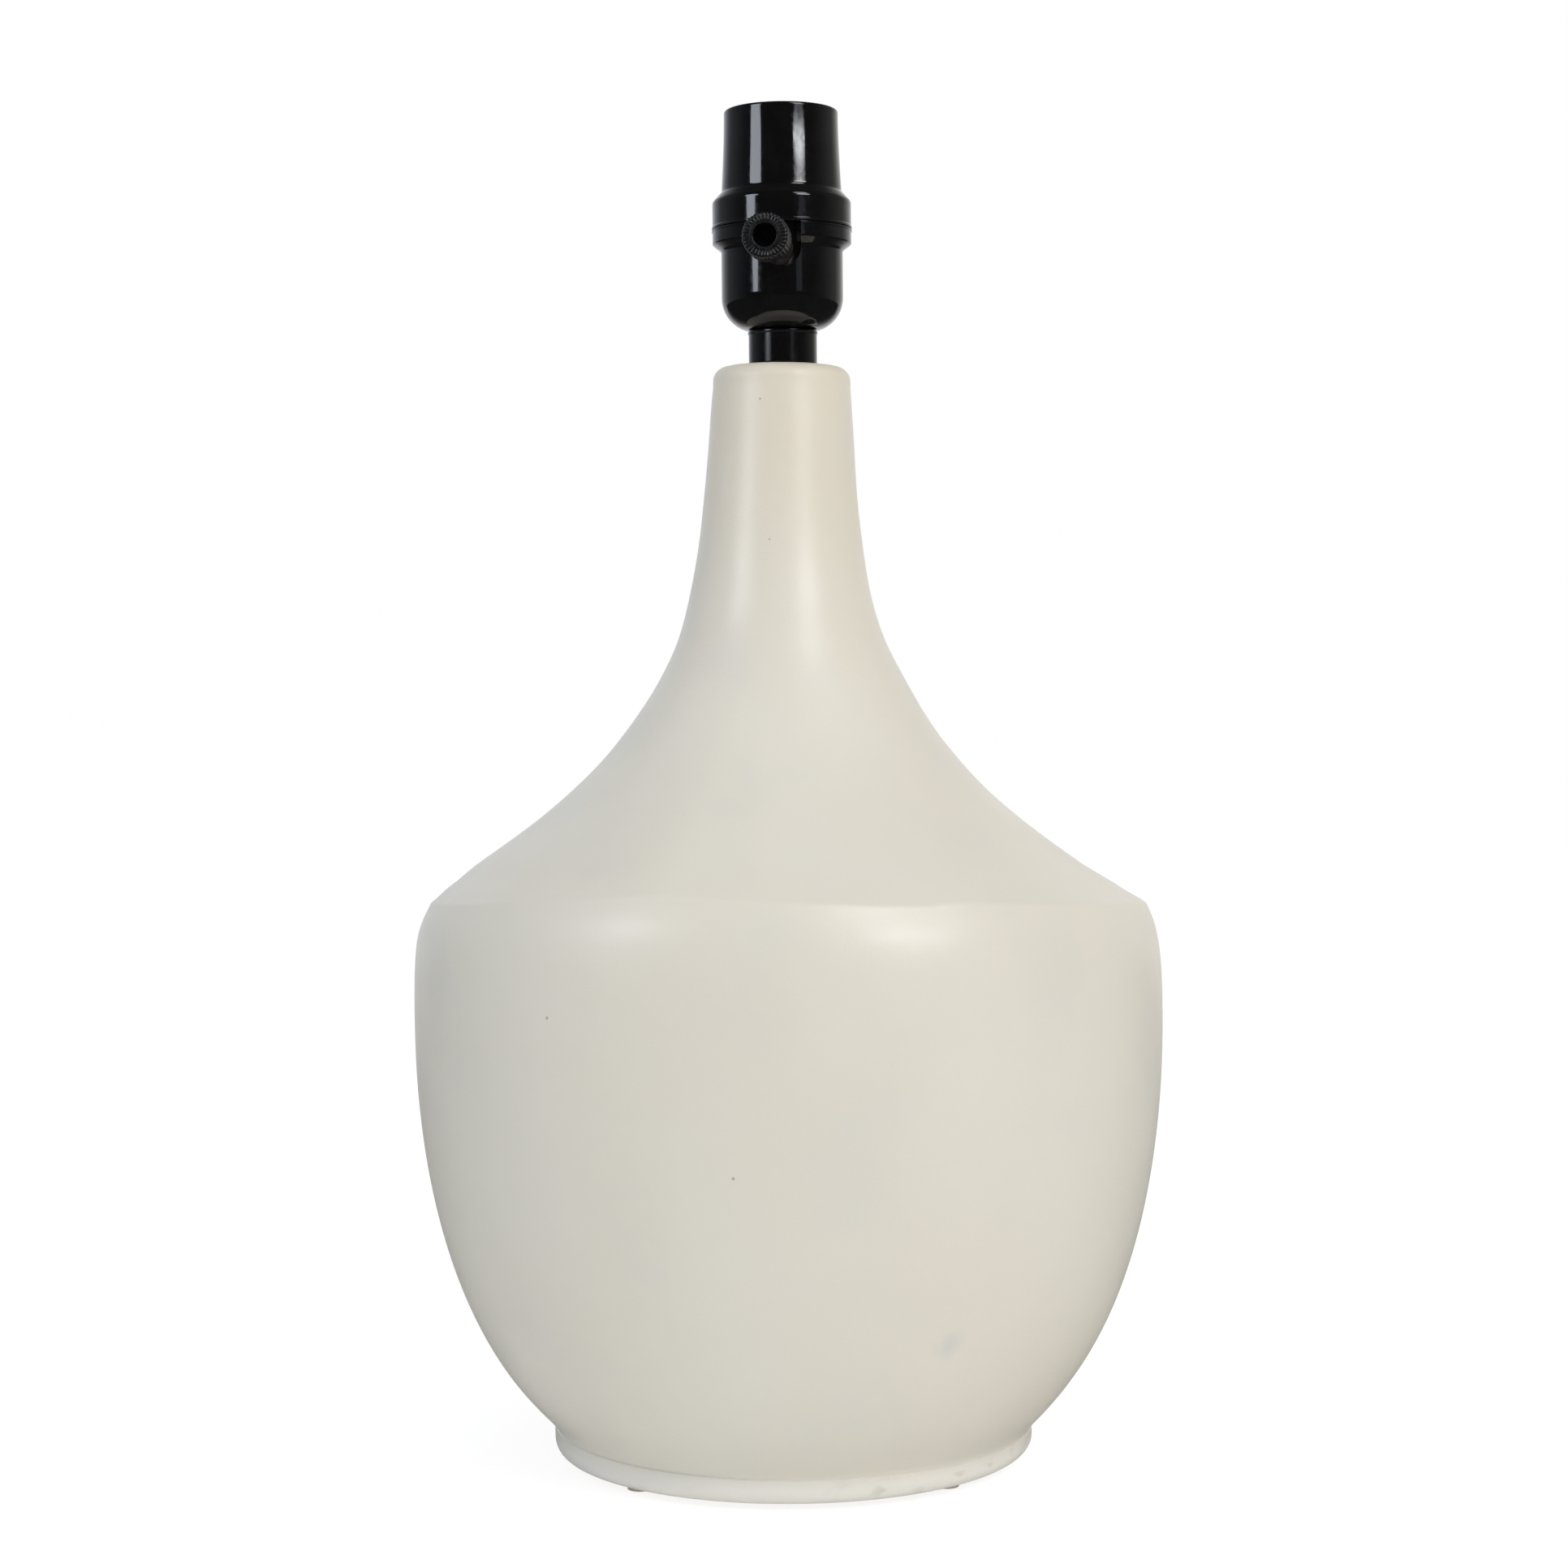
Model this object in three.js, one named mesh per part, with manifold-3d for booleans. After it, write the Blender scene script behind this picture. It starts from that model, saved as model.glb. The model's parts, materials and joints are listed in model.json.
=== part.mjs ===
// Ceramic table lamp: a slip-cast body with a black turn-knob bulb holder on a threaded pipe.
// Millimetres, +Z up, front towards -Y. The origin is on the table, under the middle of the foot.

import * as THREE from 'three';
import { mergeVertices } from 'three/addons/utils/BufferGeometryUtils.js';
import Module from 'manifold-3d';

const wasm = await Module();
wasm.setup();

// Fits
const SEAT_GAP = 0.2; // between faces that rest on each other
const SLIP_GAP = 0.3; // round a rod in its hole
const RUNNING_GAP = 0.2; // round the shaft where it turns
const LEAF_PLAY = 0.35; // above and below the riveted end of the contact leaf
const OVERRUN = 4; // how far a cutting shape passes the faces that it cuts

// Facets round a full turn
const BODY_SEGMENTS = 40;
const SOCKET_SEGMENTS = 24;
const THREAD_SEGMENTS = 24;
const KNOB_SEGMENTS = 20;
const SMALL_SEGMENTS = 16;
const TINY_SEGMENTS = 10;

// Felt pads under the foot
const PAD_RADIUS = 3.5;
const PAD_THICKNESS = 1.5;
const PAD_COUNT = 4;

// Ceramic body, outside, with heights above its own underside
const BODY_HEIGHT = 314;
const FOOT_RADIUS = 69.6;
const FOOT_HEIGHT = 7.3;
const FOOT_ROUNDING = 4.5;
const FOOT_NOTCH = 0.6;
const BELLY_RADIUS = 108.4;
const BELLY_HEIGHT = 128.3;
const CREASE_RADIUS = 103.4;
const CREASE_HEIGHT = 158.7;
const CREASE_ROUNDING = 7;
const THROAT_RADIUS = 31.9;
const THROAT_HEIGHT = 230.9;
const NECK_RADIUS = 19.9;
const NECK_ROUNDING = 4;
const NECK_UPRIGHT = 6; // nearly straight stretch below the neck's top

// Ceramic body, inside
const BODY_WALL = 6;
const MOUTH_RADIUS = 6.9;
const MOUTH_ROUNDING = 0.8;
const MOUTH_DEPTH = 8;
const CAVITY_ROUNDING = 5;
const FOOT_RING_WIDTH = 13.6; // from the recess to the foot's outside
const RECESS_HEIGHT = 22.5;
const RECESS_ROUNDING = 3;
const FLOOR_THICKNESS = 7;
const PIPE_HOLE_RADIUS = 6;

// Cord inlet through the back of the foot
const INLET_BORE = 4;
const INLET_SLEEVE = 1.3;
const INLET_FLANGE = 1.6;
const INLET_FLANGE_THICKNESS = 1.6;
const INLET_HEIGHT = 12.5;
const INLET_SETBACK = 1.5; // sleeve end to the foot's upright band

// Threaded pipe and what clamps it under the floor
const PIPE_RADIUS = 5.1;
const PIPE_BORE = 3.8;
const PIPE_TAIL = 4.2; // below the nut
const FLOOR_GASKET_RADIUS = 18;
const FLOOR_GASKET_THICKNESS = 1.5;
const FLOOR_WASHER_RADIUS = 16;
const FLOOR_WASHER_THICKNESS = 1.6;
const LOCK_WASHER_RADIUS = 8.8;
const LOCK_WASHER_THICKNESS = 1.2;
const LOCK_WASHER_SPLIT = 1.4;
const NUT_ACROSS_FLATS = 15.9;
const NUT_HEIGHT = 3.4;
const END_BUSH_WALL = 1.4;
const END_BUSH_LIP = 1.6;
const END_BUSH_GRIP = 3;

// Neck gasket and spacer on the body's mouth
const NECK_GASKET_RADIUS = 9.6;
const NECK_GASKET_THICKNESS = 0.5;
const SPACER_RADIUS = 9.9;
const SPACER_HEIGHT = 9.4;
const SPACER_LIP = 0.2;
const SPACER_LIP_HEIGHT = 0.7;
const SPIGOT_LENGTH = 6;

// Socket cap, the lower half of the bulb holder
const CAP_RADIUS = 17.6;
const CAP_WALL = 2.2;
const CAP_HEIGHT = 29;
const CAP_ROUNDING = 9.5;
const RING_RADIUS = 20.1;
const RING_BELOW = 4.1;
const RING_CHAMFER_BELOW = 1.9;
const RING_FILLET = 0.8;
const LIP_PROUD = 0.2;
const LIP_HEIGHT = 0.6;
const HUB_RADIUS = 6.8;
const HUB_HEIGHT = 11;
const HUB_SCREW_RADIUS = 1.5;
const HUB_SCREW_LENGTH = 4.6;
const HUB_SCREW_HEIGHT = 7.6;
const HUB_SCREW_ANGLE = 45;
const PILLAR_RADIUS = 3.2;
const PILLAR_HEIGHT = 13.2;
const NOTCH_RADIUS = 5.4;

// Socket shell, the upper half of the bulb holder
const SHELL_HEIGHT = 34.1;
const RING_ABOVE = 7.8;
const SHOULDER_HEIGHT = 2.8;
const TUBE_FOOT_RADIUS = 17.4;
const TUBE_FOOT_HEIGHT = 1.5;
const TUBE_FLARE = 0.35;
const TUBE_TOP_RADIUS = 16.5;
const TUBE_WALL = 2.3;
const RIM_ROUNDING = 0.8;
const WEB_RISE = 0.6;
const WEB_THICKNESS = 2.8;

// Rolled screw shell for the bulb
const THREAD_MAJOR_RADIUS = 13.35;
const THREAD_DEPTH = 1.2;
const THREAD_PITCH = 3.63;
const THREAD_SHEET = 0.4;
const THREAD_TURNS = 4;
const THREAD_STEPS_PER_TURN = 5;
const SCREW_SHELL_HEIGHT = 25;
const SCREW_SHELL_COLLAR = 2.6; // plain stretch at the top
const SCREW_SHELL_FLANGE_BORE = 8.6;

// Long screws that clamp shell, housing and cap
const BODY_SCREW_RADIUS = 1.2;
const BODY_SCREW_HEAD_RADIUS = 2.2;
const BODY_SCREW_HEAD_HEIGHT = 1.8;
const BODY_SCREW_SPREAD = 10.75;
const BODY_SCREW_ANGLE = 45;
const BODY_SCREW_GRIP = 7; // length inside the pillar

// Centre contact leaf and its rivet
const LEAF_STEPS = 4;
const LEAF_WIDTH = 5;
const LEAF_SHEET = 0.4;
const LEAF_TAIL = 1.7;
const LEAF_TIP = 3.6;
const LEAF_RISE = 3.4;
const LEAF_TIP_HEIGHT = 1.5;
const RIVET_OFFSET = 6.3;
const RIVET_RADIUS = 1;
const RIVET_HEAD_RADIUS = 1.7;
const RIVET_HEAD_HEIGHT = 0.7;

// Switch housing, its terminals and the parts that turn
const SWITCH_TURN = 6.7; // degrees from the front towards -X
const AXIS_DROP = 7.1; // knob axis below the top of the cap
const HOUSING_RADIUS = 13.4;
const HOUSING_BOSS_RADIUS = 4.9;
const HOUSING_BOSS_REACH = 14.2;
const POCKET_RADIUS = 5.4;
const POCKET_BACK = 9;
const POCKET_FRONT = 10;
const TERMINAL_SETBACK = 3;
const TERMINAL_BAY_HALF_WIDTH = 5.2;
const TERMINAL_BAY_FLOOR = 2.6;
const PLATE_SHEET = 0.6;
const PLATE_HALF_WIDTH = 4.2;
const PLATE_LEG_HALF_WIDTH = 2;
const PLATE_LEG_REACH = 4.7;
const TERMINAL_SCREW_RADIUS = 1.7;
const TERMINAL_SCREW_HEAD_RADIUS = 3.4;
const TERMINAL_SCREW_HEAD_HEIGHT = 1.8;
const TERMINAL_SCREW_LENGTH = 3;
const SHAFT_RADIUS = 1.9;
const SHAFT_SETBACK = 4; // from the knob's recess to the shaft's end
const CAM_LOBE_RADIUS = 5;
const CAM_WAIST_RADIUS = 3.9;
const CAM_LOBES = 4;
const CAM_POINTS_PER_LOBE = 6;
const CAM_LENGTH = 8.6;
const CAM_BACK = 1;
const BRIDGE_LENGTH = 9;
const BRIDGE_WIDTH = 2.4;
const BRIDGE_SHEET = 0.6;

// Turn knob, with distances from the lamp's axis
const KNOB_BACK = 21.4;
const KNOB_LENGTH = 20.1;
const KNOB_HEAD_LENGTH = 9.6;
const KNOB_RADIUS = 6.5;
const KNOB_RIBS = 24;
const KNOB_RIB_DEPTH = 0.45;
const KNOB_SHOULDER = 0.5;
const KNOB_STEM_RADIUS = 3.6;
const KNOB_STEM_LENGTH = 4;
const KNOB_RECESS_RADIUS = 3.7;
const KNOB_RECESS_DEPTH = 8.4;
const KNOB_ROUNDING = 0.6;

// Levels, from the table upwards
const FOOT_LEVEL = PAD_THICKNESS + SEAT_GAP;
const BODY_TOP = FOOT_LEVEL + BODY_HEIGHT;
const RECESS_CEILING = FOOT_LEVEL + RECESS_HEIGHT;
const FLOOR_TOP = RECESS_CEILING + FLOOR_THICKNESS;
const NECK_GASKET_LEVEL = BODY_TOP + SEAT_GAP;
const SPACER_LEVEL = NECK_GASKET_LEVEL + NECK_GASKET_THICKNESS + SEAT_GAP;
const SPACER_TOP = SPACER_LEVEL + SPACER_HEIGHT;
const CAP_LEVEL = SPACER_TOP + SEAT_GAP;
const CAP_TOP = CAP_LEVEL + CAP_HEIGHT;
const CAP_FLOOR = CAP_LEVEL + CAP_WALL;
const SHELL_LEVEL = CAP_TOP + SEAT_GAP;
const RIM_LEVEL = SHELL_LEVEL + SHELL_HEIGHT;
const WEB_LEVEL = SHELL_LEVEL + WEB_RISE;
const WEB_TOP = WEB_LEVEL + WEB_THICKNESS;
const AXIS_LEVEL = CAP_TOP - AXIS_DROP;
const PILLAR_TOP = CAP_LEVEL + PILLAR_HEIGHT;
const HOUSING_LEVEL = PILLAR_TOP + SEAT_GAP;
const HOUSING_TOP = WEB_LEVEL - SEAT_GAP;
const HUB_TOP = CAP_LEVEL + HUB_HEIGHT;
const SCREW_SHELL_LEVEL = WEB_TOP + SEAT_GAP;
const BODY_SCREW_SEAT = SCREW_SHELL_LEVEL + THREAD_SHEET + SEAT_GAP;

// Radii that follow from the walls and fits
const RECESS_RADIUS = FOOT_RADIUS - FOOT_RING_WIDTH;
const TUBE_BORE = TUBE_TOP_RADIUS - TUBE_WALL;
const PIPE_CLEARANCE_RADIUS = PIPE_RADIUS + SLIP_GAP;
const CAP_BORE = CAP_RADIUS - CAP_WALL;
const SPIGOT_RADIUS = MOUTH_RADIUS - SLIP_GAP;
const SHAFT_BORE = SHAFT_RADIUS + RUNNING_GAP;
const BODY_SCREW_HOLE = BODY_SCREW_RADIUS + SLIP_GAP;
const TERMINAL_FACE = HOUSING_RADIUS - TERMINAL_SETBACK;

const finish = (name, color, roughness, metalness) =>
  new THREE.MeshStandardMaterial({ name, color, roughness, metalness });

const materials = {
  glaze: finish('warm white glaze', '#dad7ca', 0.45, 0),
  phenolic: finish('black phenolic', '#0b0b0c', 0.18, 0),
  blackSteel: finish('black painted steel', '#0d0d0e', 0.3, 0),
  felt: finish('natural felt', '#d8d2c4', 0.95, 0),
  rubber: finish('black rubber', '#1b1a19', 0.85, 0),
  zinc: finish('zinc-plated steel', '#b9bcbf', 0.35, 1),
  brass: finish('brass', '#b8954f', 0.3, 1),
  nickel: finish('nickel-plated brass', '#c3bfb4', 0.3, 1),
  aluminium: finish('rolled aluminium', '#c9cbcd', 0.32, 1),
  nylon: finish('natural nylon', '#cfc9b8', 0.55, 0),
  urea: finish('brown phenolic block', '#2a1d16', 0.5, 0),
};

// Points of an outline in the radius-height plane

// Replaces a corner by an arc that is tangent to both of its sides.
function roundCorner(before, corner, after, radius, steps) {
  const toBefore = new THREE.Vector2().subVectors(before, corner).normalize();
  const toAfter = new THREE.Vector2().subVectors(after, corner).normalize();
  const half = Math.acos(THREE.MathUtils.clamp(toBefore.dot(toAfter), -1, 1)) / 2;
  const reach = radius / Math.tan(half);
  const centre = new THREE.Vector2()
    .addVectors(toBefore, toAfter)
    .setLength(radius / Math.sin(half))
    .add(corner);
  const start = toBefore.multiplyScalar(reach).add(corner).sub(centre);
  const end = toAfter.multiplyScalar(reach).add(corner).sub(centre);
  const sweep = Math.atan2(start.cross(end), start.dot(end));
  const points = [];
  for (let i = 0; i <= steps; i++) {
    const point = start.clone().rotateAround(new THREE.Vector2(), (sweep * i) / steps);
    points.push(point.add(centre));
  }
  return points;
}

// Corners are [radius, height], with a rounding as third value and its steps as fourth.
function outline(corners) {
  const vectors = corners.map(([radius, height]) => new THREE.Vector2(radius, height));
  return corners.flatMap(([, , rounding = 0, steps = 3], i) => {
    if (rounding === 0) {
      return [vectors[i]];
    }
    const before = vectors[(i + vectors.length - 1) % vectors.length];
    const after = vectors[(i + 1) % vectors.length];
    return roundCorner(before, vectors[i], after, rounding, steps);
  });
}

// A curve between two corners, its handles given as shares of the way across and up.
function curve(from, to, handleShares, steps) {
  const at = ([across, up]) =>
    new THREE.Vector2(from[0] + across * (to[0] - from[0]), from[1] + up * (to[1] - from[1]));
  const [first, second] = handleShares;
  const bezier = new THREE.CubicBezierCurve(at([0, 0]), at(first), at(second), at([1, 1]));
  return bezier.getPoints(steps).map((point) => point.toArray());
}

// Solids

// Faces of a closed mesh point outwards when its signed volume is above zero.
function facingOut(geometry) {
  const position = geometry.attributes.position;
  const index = geometry.index.array;
  const [a, b, c] = [new THREE.Vector3(), new THREE.Vector3(), new THREE.Vector3()];
  let volume = 0;
  for (let i = 0; i < index.length; i += 3) {
    a.fromBufferAttribute(position, index[i]);
    b.fromBufferAttribute(position, index[i + 1]);
    c.fromBufferAttribute(position, index[i + 2]);
    volume += a.dot(b.cross(c));
  }
  if (volume < 0) {
    for (let i = 0; i < index.length; i += 3) {
      [index[i + 1], index[i + 2]] = [index[i + 2], index[i + 1]];
    }
  }
  return geometry;
}

// Leaves only the positions, with each corner of the mesh held once.
function welded(geometry) {
  const bare = geometry.clone();
  bare.deleteAttribute('normal');
  bare.deleteAttribute('uv');
  return facingOut(mergeVertices(bare));
}

function toSolid(geometry) {
  const bare = welded(geometry);
  const vertProperties = bare.attributes.position.array;
  const triVerts = new Uint32Array(bare.index.array);
  return new wasm.Manifold(new wasm.Mesh({ numProp: 3, vertProperties, triVerts }));
}

function toGeometry(solid) {
  const { vertProperties, triVerts } = solid.getMesh();
  const geometry = new THREE.BufferGeometry();
  geometry.setAttribute('position', new THREE.BufferAttribute(vertProperties, 3));
  geometry.setIndex(new THREE.BufferAttribute(triVerts, 1));
  return geometry;
}

function cut(geometry, ...tools) {
  const solid = tools.reduce((left, tool) => left.subtract(toSolid(tool)), toSolid(geometry));
  return toGeometry(solid);
}

function join(geometry, ...others) {
  return toGeometry(others.reduce((sum, other) => sum.add(toSolid(other)), toSolid(geometry)));
}

// A turned solid about the Z axis from a closed outline.
function turn(corners, segments = SMALL_SEGMENTS) {
  const points = outline(corners);
  points.push(points[0].clone());
  return welded(new THREE.LatheGeometry(points, segments).rotateX(Math.PI / 2));
}

function ring(inner, outer, bottom, height, segments = SMALL_SEGMENTS) {
  const top = bottom + height;
  return turn([[inner, bottom], [outer, bottom], [outer, top], [inner, top]], segments);
}

function rod(radius, bottom, height, segments = SMALL_SEGMENTS) {
  const cylinder = new THREE.CylinderGeometry(radius, radius, height, segments);
  return cylinder.rotateX(Math.PI / 2).translate(0, 0, bottom + height / 2);
}

function block(low, high) {
  const size = high.map((value, i) => value - low[i]);
  const middle = high.map((value, i) => (value + low[i]) / 2);
  return new THREE.BoxGeometry(...size).translate(...middle);
}

// A flat shape given thickness upwards from a level.
function plate(shape, bottom, height, curveSegments = SMALL_SEGMENTS) {
  const settings = { depth: height, bevelEnabled: false, curveSegments };
  return new THREE.ExtrudeGeometry(shape, settings).translate(0, 0, bottom);
}

const toFront = (geometry) => geometry.rotateX(Math.PI / 2);
const toBack = (geometry) => geometry.rotateX(-Math.PI / 2);
const turnedWithSwitch = (geometry) => geometry.rotateZ(-THREE.MathUtils.degToRad(SWITCH_TURN));

// Scene graph

const UP = new THREE.Vector3(0, 0, 1);
const lamp = new THREE.Group();
const switchFrame = new THREE.Group();
const knobAxis = new THREE.Group();
switchFrame.rotation.z = -THREE.MathUtils.degToRad(SWITCH_TURN);
knobAxis.position.z = AXIS_LEVEL;
lamp.add(switchFrame);
switchFrame.add(knobAxis);

function place(name, geometry, material, parent = lamp) {
  const mesh = new THREE.Mesh(geometry, material.clone());
  mesh.name = name;
  parent.add(mesh);
  return mesh;
}

// Ceramic body

const BELLY_HANDLE_SHARES = [[0.01, 0.04], [1, 0.204]];
const UPPER_BELLY_HANDLE_SHARES = [[0, 0.68], [0.32, 0.78]];
const SHOULDER_HANDLE_SHARES = [[0.4, 0.288], [0.732, 0.452]];
const NECK_HANDLE_SHARES = [[0.808, 0.255], [0.851, 0.764]];

// The cavity is drawn with this share of the outside's steps.
const CAVITY_STEP_SHARE = 0.5;

// The side of the body from the notch above the foot up to the neck's top stretch.
function sideOutline(stepShare) {
  const steps = (count) => Math.round(count * stepShare);
  const notch = [FOOT_RADIUS - FOOT_NOTCH, FOOT_LEVEL + FOOT_HEIGHT];
  const belly = [BELLY_RADIUS, FOOT_LEVEL + BELLY_HEIGHT];
  const crease = [CREASE_RADIUS, FOOT_LEVEL + CREASE_HEIGHT];
  const throat = [THROAT_RADIUS, FOOT_LEVEL + THROAT_HEIGHT];
  const neck = [NECK_RADIUS, BODY_TOP - NECK_UPRIGHT];
  return [
    ...curve(notch, belly, BELLY_HANDLE_SHARES, steps(9)),
    ...curve(belly, crease, UPPER_BELLY_HANDLE_SHARES, steps(3)).slice(1, -1),
    [...crease, CREASE_ROUNDING, 2],
    ...curve(crease, throat, SHOULDER_HANDLE_SHARES, steps(6)).slice(1),
    ...curve(throat, neck, NECK_HANDLE_SHARES, steps(5)).slice(1),
  ];
}

// The same side moved in by the wall, kept between the floor and the mouth's underside.
function cavityOutline() {
  const outside = outline(sideOutline(CAVITY_STEP_SHARE));
  const low = FLOOR_TOP + CAVITY_ROUNDING;
  const high = BODY_TOP - MOUTH_DEPTH - CAVITY_ROUNDING;
  const inside = outside.slice(1, -1).map((point, i) => {
    const along = new THREE.Vector2().subVectors(outside[i + 2], outside[i]).setLength(BODY_WALL);
    return [point.x - along.y, point.y + along.x];
  });
  const kept = inside.filter(([, height]) => height > low && height < high);
  const foot = kept[0][0] - CAVITY_ROUNDING;
  return [
    [PIPE_HOLE_RADIUS, FLOOR_TOP],
    [foot, FLOOR_TOP, CAVITY_ROUNDING / 2, 2],
    ...kept,
    [NECK_RADIUS - BODY_WALL, BODY_TOP - MOUTH_DEPTH, CAVITY_ROUNDING / 2, 2],
    [MOUTH_RADIUS, BODY_TOP - MOUTH_DEPTH],
  ];
}

function ceramicBody() {
  const inletRadius = INLET_BORE + INLET_SLEEVE + SLIP_GAP;
  const profile = [
    [PIPE_HOLE_RADIUS, RECESS_CEILING],
    [RECESS_RADIUS, RECESS_CEILING, RECESS_ROUNDING, 2],
    [RECESS_RADIUS, FOOT_LEVEL],
    [FOOT_RADIUS, FOOT_LEVEL, FOOT_ROUNDING, 2],
    [FOOT_RADIUS, FOOT_LEVEL + FOOT_HEIGHT - FOOT_NOTCH],
    ...sideOutline(1),
    [NECK_RADIUS, BODY_TOP, NECK_ROUNDING, 2],
    [MOUTH_RADIUS, BODY_TOP, MOUTH_ROUNDING, 1],
    ...cavityOutline().reverse(),
  ];
  const length = BELLY_RADIUS - RECESS_RADIUS + OVERRUN;
  const inlet = toBack(rod(inletRadius, RECESS_RADIUS - OVERRUN, length));
  return cut(turn(profile, BODY_SEGMENTS), inlet.translate(0, 0, FOOT_LEVEL + INLET_HEIGHT));
}

// Foot and clamp

function feltPads() {
  const flatInner = RECESS_RADIUS;
  const flatOuter = FOOT_RADIUS - FOOT_ROUNDING;
  for (let i = 0; i < PAD_COUNT; i++) {
    const angle = (i + 1 / 2) * ((2 * Math.PI) / PAD_COUNT);
    const pad = place(`felt_pad_${i + 1}`, rod(PAD_RADIUS, 0, PAD_THICKNESS), materials.felt);
    pad.position.set((flatInner + flatOuter) / 2, 0, 0).applyAxisAngle(UP, angle);
  }
}

function cordBushing() {
  const sleeve = INLET_BORE + INLET_SLEEVE;
  const flange = sleeve + INLET_FLANGE;
  const seat = Math.sqrt(RECESS_RADIUS ** 2 - flange ** 2) - SEAT_GAP;
  const head = seat - INLET_FLANGE_THICKNESS;
  const profile = [
    [INLET_BORE, head, INLET_SLEEVE / 2],
    [flange, head, INLET_SLEEVE / 2],
    [flange, seat],
    [sleeve, seat],
    [sleeve, FOOT_RADIUS - INLET_SETBACK],
    [INLET_BORE, FOOT_RADIUS - INLET_SETBACK],
  ];
  const bushing = place('cord_bushing', toBack(turn(profile)), materials.nylon);
  bushing.position.z = FOOT_LEVEL + INLET_HEIGHT;
}

function hexagon(acrossFlats) {
  const corner = acrossFlats / Math.sqrt(3);
  const points = Array.from({ length: 6 }, (_, i) =>
    new THREE.Vector2(corner, 0).rotateAround(new THREE.Vector2(), (i * Math.PI) / 3),
  );
  return new THREE.Shape(points);
}

function withHole(shape, radius) {
  const hole = new THREE.Path().absarc(0, 0, radius, 0, 2 * Math.PI, true);
  shape.holes.push(hole);
  return shape;
}

// A ring sprung open at one place.
function splitRing(inner, outer, split) {
  const half = Math.asin(split / 2 / inner);
  const shape = new THREE.Shape();
  shape.absarc(0, 0, outer, half, 2 * Math.PI - half, false);
  shape.absarc(0, 0, inner, 2 * Math.PI - half, half, true);
  return shape;
}

function floorClamp() {
  const gasket = RECESS_CEILING - SEAT_GAP - FLOOR_GASKET_THICKNESS;
  const washer = gasket - SEAT_GAP - FLOOR_WASHER_THICKNESS;
  const lock = washer - SEAT_GAP - LOCK_WASHER_THICKNESS;
  const nut = lock - SEAT_GAP - NUT_HEIGHT;
  const hole = PIPE_CLEARANCE_RADIUS;
  const gasketRing = ring(hole, FLOOR_GASKET_RADIUS, gasket, FLOOR_GASKET_THICKNESS);
  const washerRing = ring(hole, FLOOR_WASHER_RADIUS, washer, FLOOR_WASHER_THICKNESS);
  const lockShape = splitRing(hole, LOCK_WASHER_RADIUS, LOCK_WASHER_SPLIT);
  const lockRing = plate(lockShape, lock, LOCK_WASHER_THICKNESS, TINY_SEGMENTS);
  const nutBlock = plate(withHole(hexagon(NUT_ACROSS_FLATS), hole), nut, NUT_HEIGHT);
  place('floor_gasket', gasketRing, materials.rubber);
  place('floor_washer', washerRing, materials.zinc);
  place('lock_washer', welded(lockRing), materials.zinc);
  place('pipe_nut', welded(nutBlock), materials.zinc);
  return nut;
}

function lampPipe(nutLevel) {
  const bottom = nutLevel - PIPE_TAIL;
  const top = HUB_TOP - SLIP_GAP;
  place('lamp_pipe', ring(PIPE_BORE, PIPE_RADIUS, bottom, top - bottom), materials.zinc);
  const bushBottom = bottom - SEAT_GAP - END_BUSH_LIP;
  const bushOutside = PIPE_CLEARANCE_RADIUS + END_BUSH_WALL;
  const profile = [
    [PIPE_BORE, bushBottom, END_BUSH_LIP / 3],
    [bushOutside, bushBottom, END_BUSH_LIP / 3],
    [bushOutside, bottom + END_BUSH_GRIP],
    [PIPE_CLEARANCE_RADIUS, bottom + END_BUSH_GRIP],
    [PIPE_CLEARANCE_RADIUS, bottom - SEAT_GAP],
    [PIPE_BORE, bottom - SEAT_GAP],
  ];
  place('pipe_end_bush', turn(profile), materials.nylon);
}

// Neck

function neckFittings() {
  const gasket = ring(MOUTH_RADIUS, NECK_GASKET_RADIUS, NECK_GASKET_LEVEL, NECK_GASKET_THICKNESS);
  const lip = SPACER_RADIUS + SPACER_LIP;
  const spacer = [
    [PIPE_CLEARANCE_RADIUS, SPACER_LEVEL - SPIGOT_LENGTH],
    [SPIGOT_RADIUS, SPACER_LEVEL - SPIGOT_LENGTH],
    [SPIGOT_RADIUS, SPACER_LEVEL],
    [SPACER_RADIUS, SPACER_LEVEL],
    [SPACER_RADIUS, SPACER_TOP - SPACER_LIP_HEIGHT],
    [lip, SPACER_TOP - SPACER_LIP_HEIGHT + SPACER_LIP],
    [lip, SPACER_TOP],
    [PIPE_CLEARANCE_RADIUS, SPACER_TOP],
  ];
  place('neck_gasket', gasket, materials.rubber);
  place('neck_spacer', turn(spacer, SOCKET_SEGMENTS), materials.blackSteel);
}

// Bulb holder

// Where the two long screws stand, in the frame that is turned with the switch.
function bodyScrewPlaces() {
  const angle = THREE.MathUtils.degToRad(BODY_SCREW_ANGLE);
  const spread = new THREE.Vector3(-BODY_SCREW_SPREAD, 0, 0);
  return [angle + Math.PI, angle].map((around) => spread.clone().applyAxisAngle(UP, -around));
}

// One rod for each long screw, for a hole, a pillar or a shank.
function atBodyScrews(radius, bottom, height) {
  return bodyScrewPlaces().map(({ x, y }) => {
    const geometry = rod(radius, bottom, height, TINY_SEGMENTS);
    return turnedWithSwitch(geometry.translate(x, y, 0));
  });
}

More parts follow.
